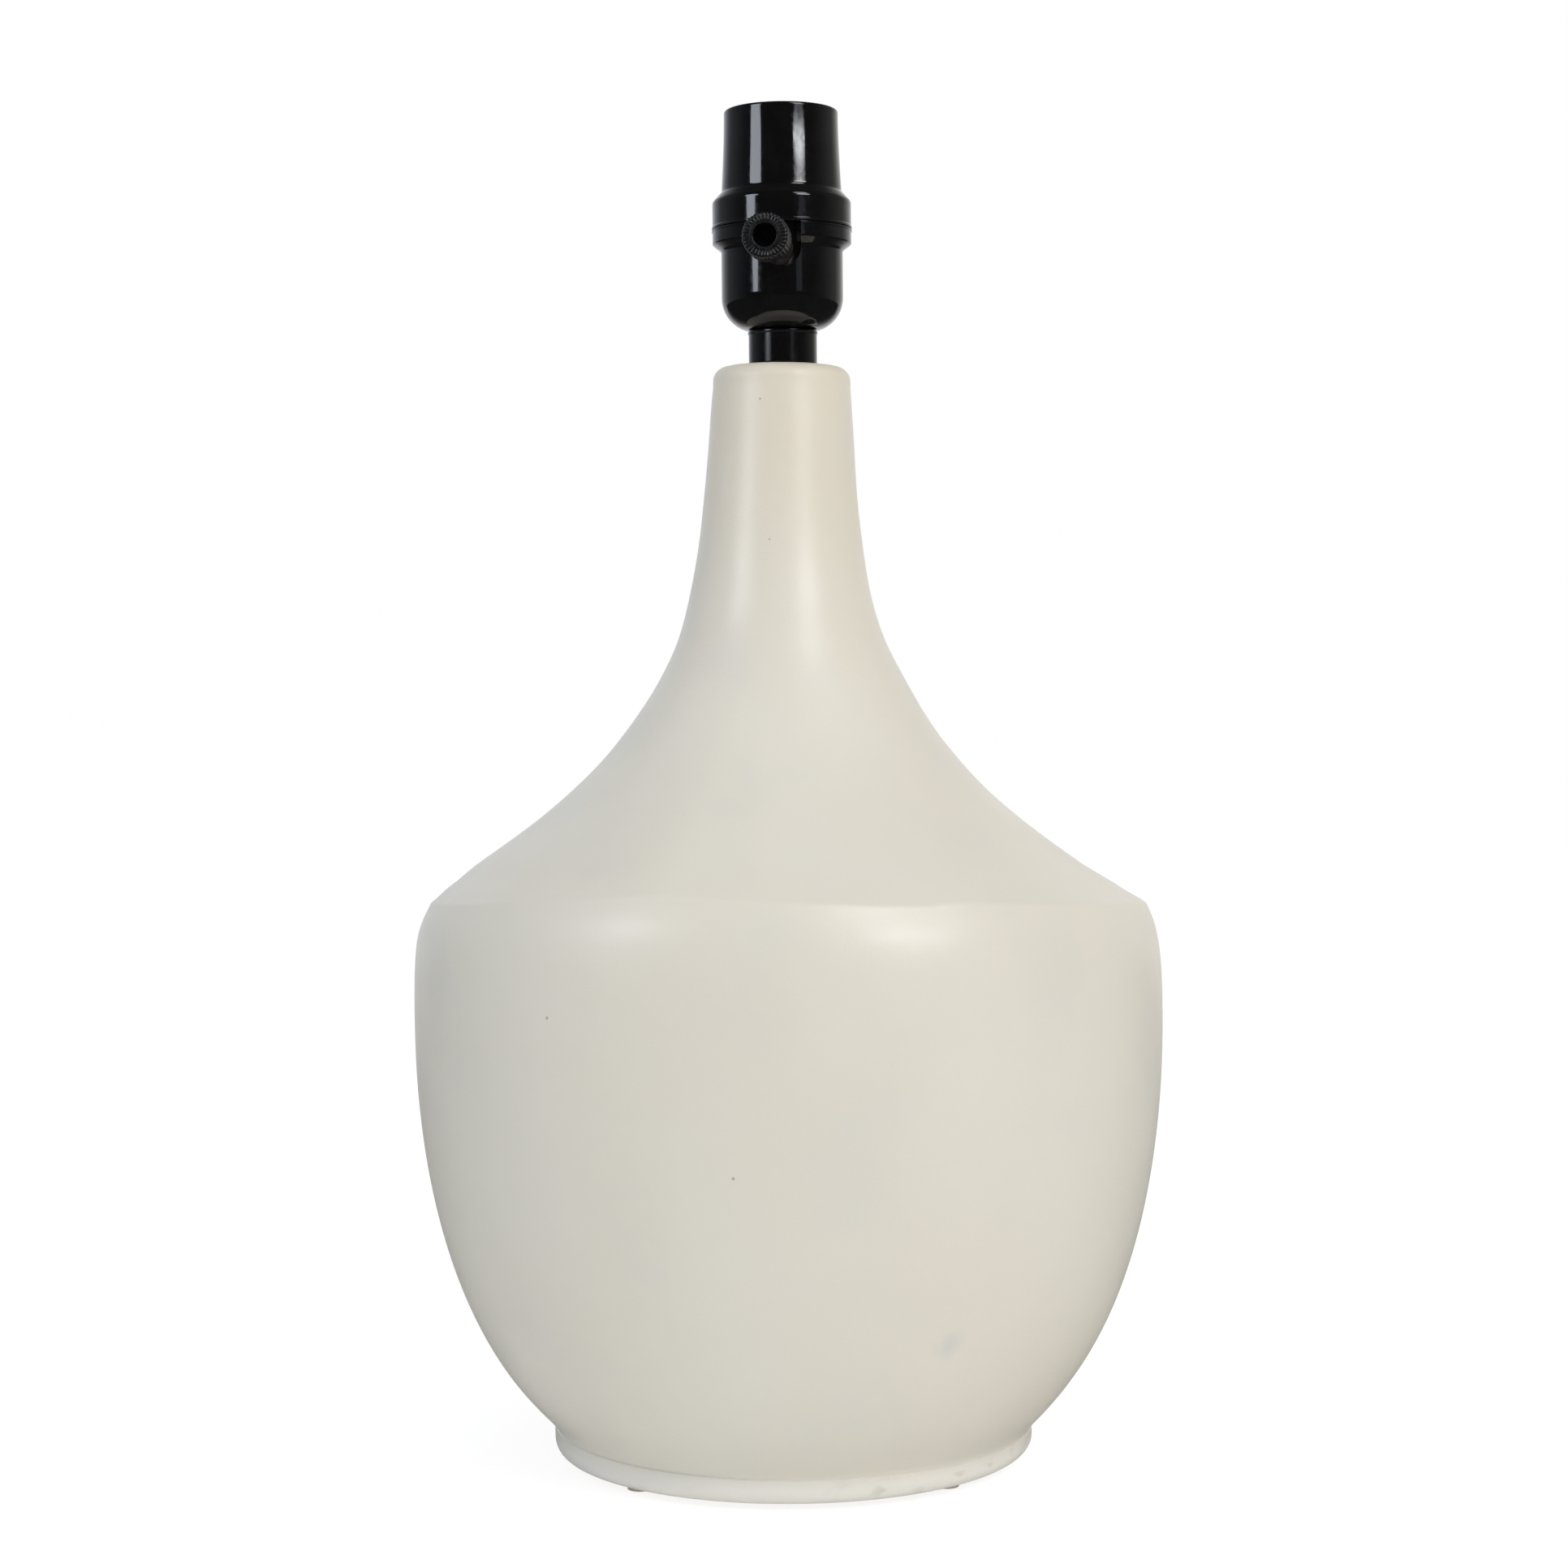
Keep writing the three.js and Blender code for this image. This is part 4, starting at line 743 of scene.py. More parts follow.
def moulded_brown_phenolic(colours):
    """Wood-flour filled phenolic: dark brown, dull, with specks of its filler.

    The specks, about 0.1 mm, are drawn four times as coarse, or they would not show.
    """
    specks = (0.45 * MM, 0, 1, (0.5, 0.7), 5)
    gloss = (0.45 * MM, 0.4, 0.58, (0.5, 0.7), 5)
    looks = (colours.brown_phenolic, (1, 2.2), specks, gloss, specks, 0.01 * MM, {"IOR": 1.6})
    return mottled("moulded_brown_phenolic", *looks)


FINISHES = {
    "glaze": satin_glaze_on_stoneware,
    "black_phenolic": moulded_black_phenolic,
    "handled_phenolic": handled_black_phenolic,
    "black_steel": black_enamelled_steel,
    "felt": pressed_wool_felt,
    "rubber": matt_black_rubber,
    "zinc": bright_zinc_plate,
    "brass": drawn_brass,
    "nickel": nickel_plate,
    "rolled_aluminium": rolled_aluminium,
    "nylon": moulded_nylon,
    "brown_phenolic": moulded_brown_phenolic,
}


def finish(name):
    """One of the finishes, made once."""
    make = FINISHES[name]
    made = bpy.data.materials.get(make.__name__)
    return made or make(bpy.context.scene.lamp_colours)


# Ceramic body

# The curves of the body's side: two handles, as shares of the way across and up, and the steps
BELLY_CURVE = (((0.01, 0.04), (1, 0.204)), 56)
UPPER_BELLY_CURVE = (((0, 0.68), (0.32, 0.78)), 24)
SHOULDER_CURVE = (((0.4, 0.288), (0.732, 0.452)), 52)
NECK_CURVE = (((0.808, 0.255), (0.851, 0.764)), 40)
CAVITY_EVERY = 4  # points of the side for one of the cavity
BODY_STEPS = 256
INLET_STEPS = 48
MOUTH_ROUNDING = 0.8 * MM
CAVITY_ROUNDING = 2.5 * MM


def body_side(sizes):
    """The side of the body from the notch above the foot up to the neck's top stretch."""
    notch = Vector((sizes.foot_radius - sizes.foot_notch, BODY_BOTTOM + sizes.foot_height))
    belly = Vector((BELLY_RADIUS, BODY_BOTTOM + sizes.belly_height))
    crease = Vector((sizes.crease_radius, BODY_BOTTOM + sizes.crease_height))
    throat = Vector((sizes.throat_radius, BODY_BOTTOM + sizes.throat_height))
    neck = Vector((sizes.neck_radius, BODY_TOP - sizes.neck_upright))
    below = curve(notch, belly, *BELLY_CURVE)
    below += curve(belly, crease, *UPPER_BELLY_CURVE)[1:]
    above = curve(crease, throat, *SHOULDER_CURVE)
    above += curve(throat, neck, *NECK_CURVE)[1:]
    return joined(below, above, sizes.crease_rounding)


def body_radius_at(sizes, height):
    """Radius of the body's side at a height."""
    side = body_side(sizes)
    low, high = next((a, b) for a, b in zip(side, side[1:]) if a.y <= height <= b.y)
    share = (height - low.y) / (high.y - low.y)
    return low.x + share * (high.x - low.x)


def body_cavity(sizes, side):
    """The side moved in by the wall, kept between the floor and the mouth's underside."""
    floor_top = BODY_BOTTOM + sizes.recess_height + sizes.floor
    ceiling = BODY_TOP - sizes.mouth_depth
    inside = []
    stations = side[::CAVITY_EVERY]
    for before, point, after in zip(stations, stations[1:], stations[2:]):
        along = (after - before).normalized() * sizes.wall
        inside.append(point + Vector((-along.y, along.x)))
    margin = 2 * CAVITY_ROUNDING
    kept = [tuple(p) for p in inside if floor_top + margin < p.y < ceiling - margin]
    return [
        (sizes.pipe_hole, floor_top),
        (kept[0][0] - margin, floor_top, CAVITY_ROUNDING),
        *kept,
        (sizes.neck_radius - sizes.wall, ceiling, CAVITY_ROUNDING),
        (sizes.mouth_radius, ceiling),
    ]


# How the cast body departs from a true round: height and lean to the right, in millimetres
LEANS = (
    (0, 0.3), (30, -0.1), (150, -0.1), (161, 0.3), (165, -0.8), (172, -2.1), (190, -2), (206, -1.5),
    (226, -0.9), (250, -1.35), (270, -1.1), (300, -0.6), (314, -0.4), (340, 0),
)
# The crease's own ups and downs: degrees from the front towards the right, and rise in millimetres
CREASE_BUMPS = (
    (-180, 0), (-120, 0.8), (-60, 0), (-38, 0.7), (-20, 2.2), (-8, 0.8), (4, -0.3), (19, -0.8),
    (26, 0.1), (33, -0.1), (45, -0.3), (70, 0.4), (130, -0.9), (180, 0),
)
CREASE_REACH = 70 * MM  # how far above and below the crease its ups and downs fade out
CREASE_ROUND = 1.2  # below 1 its front and back are broad and its sides sharp, above 1 the other way
TILT = math.tan(math.radians(LEAN))  # how far the body's rims drop towards the right
SWELL = 0.16 * MM  # how far the cast wall strays in and out, slowly
SWELL_SIZE = 42 * MM  # of one such swell
SWELL_STARTS = (12 * MM, 40 * MM)  # heights between which the swells set in above the foot
SWELL_ENDS = (280 * MM, 310 * MM)  # and fade out below the neck's top
TILT_STARTS = (3 * MM, 9 * MM)  # heights between which the tilt sets in, so that the foot stands flat
TRUE_MOUTH = (11 * MM, 17 * MM)  # radii between which lean and tilt set in round the mouth


def handmade(point, sizes):
    """A point of the true body moved to where it lies on the cast and fettled one."""
    x, y, z = point
    across = math.hypot(x, y)
    angle = math.atan2(x, -y)
    crease = BODY_BOTTOM + sizes.crease_height
    near_crease = max(0, 1 - ((z - crease) / CREASE_REACH) ** 2) ** 2
    bump = between(CREASE_BUMPS, math.degrees(angle)) * MM
    lift = (sizes.crease_lift * abs(math.cos(angle)) ** CREASE_ROUND + bump) * near_crease
    clear = smooth_step(z, *SWELL_STARTS) * (1 - smooth_step(z, *SWELL_ENDS))
    swell = 1 + SWELL * clear * noise.noise(Vector(point) / SWELL_SIZE) / max(across, MM)
    outside = smooth_step(across, *TRUE_MOUTH)
    drop = x * TILT * smooth_step(z, *TILT_STARTS) * outside
    lean = between(LEANS, z / MM) * MM * outside
    return Vector((x * swell + lean, y * swell, z + lift - drop))


class LAMP_OT_glazed_body(bpy.types.Operator):
    """Makes the slip-cast body: foot ring, belly, crease, shoulder and neck in one hollow piece"""

    bl_idname = "lamp.glazed_body"
    bl_label = "Glazed body"

    def execute(self, context):
        sizes = context.scene.lamp_body
        side = body_side(sizes)
        ceiling = BODY_BOTTOM + sizes.recess_height
        foot_top = BODY_BOTTOM + sizes.foot_height
        corners = [
            (sizes.pipe_hole, ceiling),
            (sizes.recess_radius, ceiling, sizes.recess_rounding),
            (sizes.recess_radius, BODY_BOTTOM, MOUTH_ROUNDING),
            (sizes.foot_radius, BODY_BOTTOM, sizes.foot_rounding),
            (sizes.foot_radius, foot_top - sizes.foot_notch, sizes.foot_notch / 2),
            *[tuple(point) for point in side],
            (sizes.neck_radius, BODY_TOP, sizes.neck_rounding),
            (sizes.mouth_radius, BODY_TOP, MOUTH_ROUNDING),
            *reversed(body_cavity(sizes, side)),
        ]
        body = turned(corners, BODY_STEPS)
        for vert in body.verts:
            if math.hypot(vert.co.x, vert.co.y) > sizes.recess_radius or vert.co.z > ceiling:
                vert.co = handmade(vert.co, sizes)
        reach = BELLY_RADIUS - sizes.recess_radius + OVERRUN
        start = Matrix.Translation((0, sizes.recess_radius - OVERRUN, INLET_LEVEL))
        hole = moved(rod(sizes.inlet_hole, 0, reach, Vector(), INLET_STEPS), start @ TO_BACK)
        body = combined(body, [hole])
        add_piece("glazed_body", body, "glaze", ["ceramic_body"])
        return {"FINISHED"}


# Foot and clamp

FELT_RINGS = 6  # on a pad's top, for its fuzz
FELT_STEPS = 64
FUZZ = 0.03  # how far the edge strays, as a share of the radius
FUZZ_SIZE = 0.9 * MM
PIPE_STEPS = 48
PIPE_THREAD_DEPTH = 0.45  # as a share of the pitch
PIPE_THREAD_POINTS = 8  # along the pipe, in one turn of its thread
NUT_STEPS = 120
NUT_CHAMFER = math.radians(30)


class LAMP_OT_felt_pads(bpy.types.Operator):
    """Makes the four felt pads that the lamp stands on"""

    bl_idname = "lamp.felt_pads"
    bl_label = "Felt pads"

    def execute(self, context):
        rounding = context.scene.lamp_fittings.pad_rounding
        for number in range(1, 5):
            node = f"felt_pad_{number}"
            low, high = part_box(node)
            radius = (high.x - low.x) / 2
            thickness = high.z - low.z
            rings = [(radius * i / FELT_RINGS, thickness) for i in reversed(range(FELT_RINGS))]
            edge = [(radius, 0, rounding / 2), (radius, thickness, rounding)]
            pad = turned([(0, 0), *edge, *rings], FELT_STEPS)
            for vert in pad.verts:
                rim = math.hypot(vert.co.x, vert.co.y) / radius
                fuzz = noise.noise(vert.co / FUZZ_SIZE + Vector((0, 0, number)))
                vert.co *= 1 + FUZZ * fuzz * rim * (0 < vert.co.z < thickness)
            pad = stood_at(moved(pad, Matrix.Translation((0, 0, low.z))), middle_of(node))
            add_piece(f"foot_felt_{number}", pad, "felt", [node])
        return {"FINISHED"}


def ring_piece(name, node, inner, slot, edge):
    """Makes a flat ring with rounded edges where a round node is."""
    bottom, top, outer = span(node)
    ring = turned(ring_corners(inner, outer, bottom, top, edge))
    add_piece(name, ring, slot, [node])


class LAMP_OT_floor_clamp(bpy.types.Operator):
    """Makes the gasket, the washers and the nut that clamp the pipe under the floor"""

    bl_idname = "lamp.floor_clamp"
    bl_label = "Floor clamp"

    def execute(self, context):
        ring_piece("recess_gasket", "floor_gasket", PIPE_CLEARANCE, "rubber", 0.2 * MM)
        ring_piece("recess_washer", "floor_washer", PIPE_CLEARANCE, "zinc", 0.3 * MM)
        self.lock_washer()
        self.nut(context.scene.lamp_fittings.nut_across_flats)
        return {"FINISHED"}

    def lock_washer(self):
        """A spring ring, sprung open at its cut."""
        bottom, top, outer = span("lock_washer")
        split = 1.4 * MM
        edge = 0.2 * MM
        ring = turned(ring_corners(PIPE_CLEARANCE, outer, bottom, top, edge))
        cut = bar(0, outer + OVERRUN, split, top)
        add_piece("pipe_lock_washer", combined(ring, [cut]), "zinc", ["lock_washer"])

    def nut(self, across_flats):
        """A hexagon whose corners are turned off at both faces."""
        bottom, top, _ = span("pipe_nut")
        corner = across_flats / math.sqrt(3)
        flat = across_flats / 2
        angles = [math.tau * i / 6 for i in range(6)]
        points = [(corner * math.cos(angle), corner * math.sin(angle)) for angle in angles]
        hexagon = moved(prism(points, top - bottom), Matrix.Translation((0, 0, bottom)))
        face = flat * 0.98  # the radius of the flat face that the chamfer leaves
        outside = corner + SLIP_GAP
        drop = (corner - flat) * math.tan(NUT_CHAMFER) * 1.3  # of the chamfer's cone out to there
        corners = [
            (PIPE_CLEARANCE, bottom),
            (face, bottom),
            (outside, bottom + drop),
            (outside, top - drop),
            (face, top),
            (PIPE_CLEARANCE, top),
        ]
        bounds = turned(corners, NUT_STEPS)
        add_piece("pipe_hexagon_nut", combined(hexagon, [bounds], "INTERSECT"), "zinc", ["pipe_nut"])


class LAMP_OT_threaded_pipe(bpy.types.Operator):
    """Makes the pipe with its rolled threads, and the bush in its lower end"""

    bl_idname = "lamp.threaded_pipe"
    bl_label = "Threaded pipe"

    def execute(self, context):
        sizes = context.scene.lamp_fittings
        depth = sizes.pipe_pitch * PIPE_THREAD_DEPTH
        step = sizes.pipe_pitch / PIPE_THREAD_POINTS
        count = round(sizes.pipe_thread / step)
        low = [PIPE_BOTTOM + i * step for i in range(count + 1)]
        high = [PIPE_TOP - i * step for i in reversed(range(count + 1))]

        def section(angle):
            """The wall of the pipe at an angle, its thread tapered off at both ends."""
            points = [(sizes.pipe_bore, PIPE_BOTTOM)]
            for z in low + high:
                from_end = min(z - PIPE_BOTTOM, PIPE_TOP - z)
                from_plain = min(abs(z - low[-1]), abs(z - high[0]))
                grown = smooth_step(min(from_end, from_plain), 0, sizes.pipe_pitch)
                wave = (1 - math.cos(math.tau * z / sizes.pipe_pitch - angle)) / 2
                tapered = 1 - smooth_step(from_end, 0, sizes.pipe_pitch / 2)
                points.append((PIPE_RADIUS - depth * max(grown * wave, tapered), z))
            return [*points, (sizes.pipe_bore, PIPE_TOP)]

        add_piece("threaded_pipe", swept_round(section, PIPE_STEPS), "zinc", ["lamp_pipe"])
        self.end_bush(sizes)
        return {"FINISHED"}

    def end_bush(self, sizes):
        """A nylon collar that keeps the cord off the pipe's end."""
        bottom, top, outer = span("pipe_end_bush")
        seat = PIPE_BOTTOM - SEAT_GAP
        lip = (seat - bottom) / 3
        bush = turned(
            [
                (sizes.pipe_bore, bottom, lip),
                (outer, bottom, lip),
                (outer, top, lip / 2),
                (PIPE_CLEARANCE, top),
                (PIPE_CLEARANCE, seat),
                (sizes.pipe_bore, seat),
            ]
        )
        add_piece("pipe_bush", bush, "nylon", ["pipe_end_bush"])


class LAMP_OT_cord_inlet(bpy.types.Operator):
    """Makes the bushing that the cord comes in through, at the back of the foot"""

    bl_idname = "lamp.cord_inlet"
    bl_label = "Cord inlet"

    def execute(self, context):
        sizes = context.scene.lamp_fittings
        low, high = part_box("cord_bushing")
        flange = high.x
        sleeve = sizes.inlet_bore + sizes.inlet_sleeve
        flange_thickness = 1.6 * MM
        seat = low.y + flange_thickness
        edge = sizes.inlet_sleeve / 2
        bushing = turned(
            [
                (sizes.inlet_bore, low.y, edge),
                (flange, low.y, edge),
                (flange, seat, edge / 3),
                (sleeve, seat),
                (sleeve, high.y, edge / 2),
                (sizes.inlet_bore, high.y, edge),
            ]
        )
        moved(bushing, Matrix.Translation((0, 0, INLET_LEVEL)) @ TO_BACK)
        add_piece("inlet_bushing", bushing, "nylon", ["cord_bushing"])
        return {"FINISHED"}


# Neck

SPACER_STEPS = 128


class LAMP_OT_neck_fittings(bpy.types.Operator):
    """Makes the rubber gasket and the black steel spacer on the neck"""

    bl_idname = "lamp.neck_fittings"
    bl_label = "Neck fittings"

    def execute(self, context):
        mouth = context.scene.lamp_body.mouth_radius
        radius = context.scene.lamp_holder.spacer_radius
        gasket_top = span("neck_gasket")[1]
        seat = gasket_top + SEAT_GAP
        lip_height = 0.7 * MM
        edge = 0.2 * MM
        spigot = mouth - SLIP_GAP
        ring_piece("neck_seal", "neck_gasket", mouth, "rubber", 0.15 * MM)
        spacer = turned(
            [
                (PIPE_CLEARANCE, SPIGOT_BOTTOM, edge),
                (spigot, SPIGOT_BOTTOM, edge),
                (spigot, seat),
                (radius, seat, edge),
                (radius, SPACER_TOP - lip_height - edge, edge),
                (SPACER_LIP_RADIUS, SPACER_TOP - lip_height, edge),
                (SPACER_LIP_RADIUS, SPACER_TOP, edge),
                (PIPE_CLEARANCE, SPACER_TOP, edge),
            ],
            SPACER_STEPS,
        )
        add_piece("steel_spacer", spacer, "black_steel", ["neck_spacer"])
        return {"FINISHED"}


# Bulb holder

HOLDER_STEPS = 160
SCREW_STEPS = 48
THREAD_STEPS = 120
THREAD_POINTS = 20  # along the screw shell, in one turn of its thread
RING_CHAMFER = 1.9 * MM
FINE_EDGE = 0.25 * MM
BELL = 1.6  # how suddenly the tube widens towards its foot
BELL_STEPS = 30
FLARE = 0.12 * MM  # that the last stretch of the tube adds to it
FLARE_REACH = 0.7 * MM
WEB_BOTTOM = SHELL_BOTTOM + 0.6 * MM  # of the floor across the shell
WEB_TOP = WEB_BOTTOM + 2.8 * MM
SCREW_HOLE = 1.5 * MM
RIVET_HOLE = 1.3 * MM


def screw_bars(radius, bottom, height):
    """Bars where the two long screws stand."""
    places = [middle_of(f"body_screw_{number}") for number in (1, 2)]
    return [rod(radius, bottom, height, place) for place in places]


class LAMP_OT_holder_cap(bpy.types.Operator):
    """Makes the lower half of the bulb holder, with the slot for the switch's stem"""

    bl_idname = "lamp.holder_cap"
    bl_label = "Holder cap"

    def execute(self, context):
        sizes = context.scene.lamp_holder
        hub_hole = span("cap_hub")[2] + SEAT_GAP
        bore = sizes.cap_radius - sizes.cap_wall
        ring_foot = CAP_TOP - sizes.ring_below
        cap_floor = CAP_BOTTOM + sizes.cap_wall
        below_ring = 1.4 * MM  # rounding where the cap widens into its ring
        cap = turned(
            [
                (hub_hole, CAP_BOTTOM),
                (sizes.cap_radius, CAP_BOTTOM, sizes.cap_rounding),
                (sizes.cap_radius, ring_foot - RING_CHAMFER, below_ring),
                (sizes.ring_radius, ring_foot, below_ring / 2),
                (sizes.ring_radius, CAP_TOP - sizes.lip_height, FINE_EDGE / 4),
                (SEAM_RADIUS, CAP_TOP - sizes.lip_height, FINE_EDGE / 4),
                (SEAM_RADIUS, CAP_TOP, FINE_EDGE / 2),
                (bore, CAP_TOP, FINE_EDGE),
                (bore, cap_floor, sizes.cap_rounding - sizes.cap_wall),
                (hub_hole, cap_floor),
            ],
            HOLDER_STEPS,
        )
        pillar_radius = 3.2 * MM
        pillar_foot = CAP_BOTTOM + sizes.cap_wall / 2
        pillar_top = span("switch_housing")[0] - SEAT_GAP
        hole_depth = 9 * MM
        pillars = screw_bars(pillar_radius, pillar_foot, pillar_top - pillar_foot)
        holes = screw_bars(SCREW_HOLE, pillar_top - hole_depth, hole_depth + OVERRUN)
        cap = combined(combined(cap, pillars, "UNION"), [self.notch(sizes), *holes])
        add_piece("holder_cap", cap, "black_phenolic", ["socket_cap"])
        return {"FINISHED"}

    def notch(self, sizes):
        """A U-shaped cutter, open at the top, that follows the cap's round skin."""
        radius = sizes.notch_radius
        ring_foot = CAP_TOP - sizes.ring_below
        rise = CAP_TOP + OVERRUN - AXIS_LEVEL
        bends = [math.pi + math.pi * i / 24 for i in range(25)]
        levels = [AXIS_LEVEL + rise * i / 12 for i in range(1, 13)]
        profile = [(radius * math.cos(a), AXIS_LEVEL + radius * math.sin(a)) for a in bends]
        profile += [(radius, z) for z in levels] + [(-radius, z) for z in reversed(levels)]

        def at_depth(depth):
            """The profile laid on the cap's skin, moved outwards by a depth."""
            points = []
            for x, z in profile:
                widened = smooth_step(z, ring_foot - RING_CHAMFER, ring_foot)
                skin = sizes.cap_radius + (sizes.ring_radius - sizes.cap_radius) * widened
                points.append((x, -math.sqrt((skin + depth) ** 2 - x * x), z))
            return points

        return lofted([at_depth(-OVERRUN), at_depth(2 * OVERRUN)])


class LAMP_OT_holder_shell(bpy.types.Operator):
    """Makes the upper half of the bulb holder: ring, bevelled shoulder and tube"""

    bl_idname = "lamp.holder_shell"
    bl_label = "Holder shell"

    def execute(self, context):
        sizes = context.scene.lamp_holder
        spigot = sizes.cap_radius - sizes.cap_wall - SEAT_GAP
        ring_top = SHELL_BOTTOM + sizes.ring_above
        tube_foot = ring_top + sizes.shoulder_height
        bore = sizes.tube_top_radius - sizes.tube_wall
        drop = RIM_LEVEL - sizes.rim_rounding - tube_foot
        widening = sizes.tube_foot_radius - sizes.tube_top_radius
        bell = []
        for i in range(1, BELL_STEPS):
            rise = drop * (i / BELL_STEPS) ** 2
            wide = widening * (1 - rise / drop) ** BELL + FLARE * max(0, 1 - rise / FLARE_REACH) ** 2
            bell.append((sizes.tube_top_radius + wide, tube_foot + rise))
        shell = turned(
            [
                (spigot, SHELL_BOTTOM),
                (SEAM_RADIUS, SHELL_BOTTOM, FINE_EDGE / 2),
                (SEAM_RADIUS, SHELL_BOTTOM + sizes.lip_height, FINE_EDGE * 0.7),
                (sizes.ring_radius, SHELL_BOTTOM + sizes.lip_height + FINE_EDGE, FINE_EDGE),
                (sizes.ring_radius, ring_top, sizes.ring_edge),
                (sizes.tube_foot_radius + FLARE, tube_foot, FINE_EDGE / 2),
                *bell,
                (sizes.tube_top_radius, RIM_LEVEL, sizes.rim_rounding),
                (bore, RIM_LEVEL, sizes.rim_rounding),
                (bore, WEB_TOP, FINE_EDGE),
                (0, WEB_TOP),
                (0, WEB_BOTTOM),
                (spigot, WEB_BOTTOM),
            ],
            HOLDER_STEPS,
        )
        start = WEB_BOTTOM - OVERRUN
        reach = WEB_TOP + OVERRUN - start
        holes = screw_bars(SCREW_HOLE, start, reach)
        holes.append(rod(RIVET_HOLE, start, reach, middle_of("contact_rivet")))
        add_piece("holder_shell", combined(shell, holes), "black_phenolic", ["socket_shell"])
        return {"FINISHED"}


class LAMP_OT_screw_shell(bpy.types.Operator):
    """Makes the rolled aluminium shell that the bulb's thread turns in"""

    bl_idname = "lamp.screw_shell"
    bl_label = "Screw shell"

    def execute(self, context):
        sizes = context.scene.lamp_holder
        bottom, top, _ = span("screw_shell")
        turns = 4
        collar = 2.6 * MM
        flange_bore = 8.6 * MM
        edge = 0.15 * MM
        thread_top = top - collar
        thread_bottom = thread_top - turns * sizes.thread_pitch
        step = sizes.thread_pitch / THREAD_POINTS
        heights = [thread_bottom + i * step for i in range(turns * THREAD_POINTS + 1)]

        def section(angle):
            """The rolled sheet at an angle, from its flange up to its crown and back."""
            inside = [(sizes.thread_radius, bottom + sizes.sheet)]
            outside = [(sizes.thread_radius + sizes.sheet, bottom)]
            for z in heights:
                turn = (z - thread_bottom) / sizes.thread_pitch
                grown = smooth_step(min(turn, turns - turn), 0, 1 / 2)
                wave = (1 - math.cos(math.tau * turn - angle)) / 2
                radius = sizes.thread_radius - sizes.thread_depth * grown * wave
                inside.append((radius, z))
                outside.append((radius + sizes.sheet, z))
            crown = [
                (sizes.thread_radius + sizes.sheet, top - edge),
                (sizes.thread_radius + sizes.sheet / 2, top),
                (sizes.thread_radius, top - edge),
            ]
            foot = [(flange_bore, bottom + sizes.sheet), (flange_bore, bottom)]
            return [*outside, *crown, *reversed(inside), *foot]

        holes = screw_bars(SCREW_HOLE, bottom - OVERRUN, 2 * OVERRUN)
        shell = combined(swept_round(section, THREAD_STEPS), holes)
        add_piece("thread_shell", shell, "rolled_aluminium", ["screw_shell"])
        return {"FINISHED"}


class LAMP_OT_long_screws(bpy.types.Operator):
    """Makes the two slotted screws that clamp shell, housing and cap"""

    bl_idname = "lamp.long_screws"
    bl_label = "Long screws"

    def execute(self, context):
        shank = 1.2 * MM
        head_height = 1.8 * MM
        crown = 0.9 * MM
        slot_width = 0.55 * MM
        slot_depth = 0.8 * MM
        for number in (1, 2):
            node = f"body_screw_{number}"
            low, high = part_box(node)
            head = (high.x - low.x) / 2
            seat = high.z - head_height
            screw = turned(
                [
                    (0, low.z),
                    (shank, low.z, shank / 3),
                    (shank, seat),
                    (head, seat, FINE_EDGE),
                    (head, high.z, crown),
                    (0, high.z),
                ],
                SCREW_STEPS,
            )
            slot_floor = Matrix.Translation((0, 0, high.z - slot_depth))
            slot = moved(bar(-head, head, slot_width, OVERRUN), slot_floor)
            left_at = math.radians(25 + 70 * number)  # the angle that tightening left the slot at
            slot = moved(slot, Matrix.Rotation(left_at, 4, "Z"))
            screw = stood_at(combined(screw, [slot]), middle_of(node))
            add_piece(f"long_screw_{number}", screw, "zinc", [node])
        return {"FINISHED"}


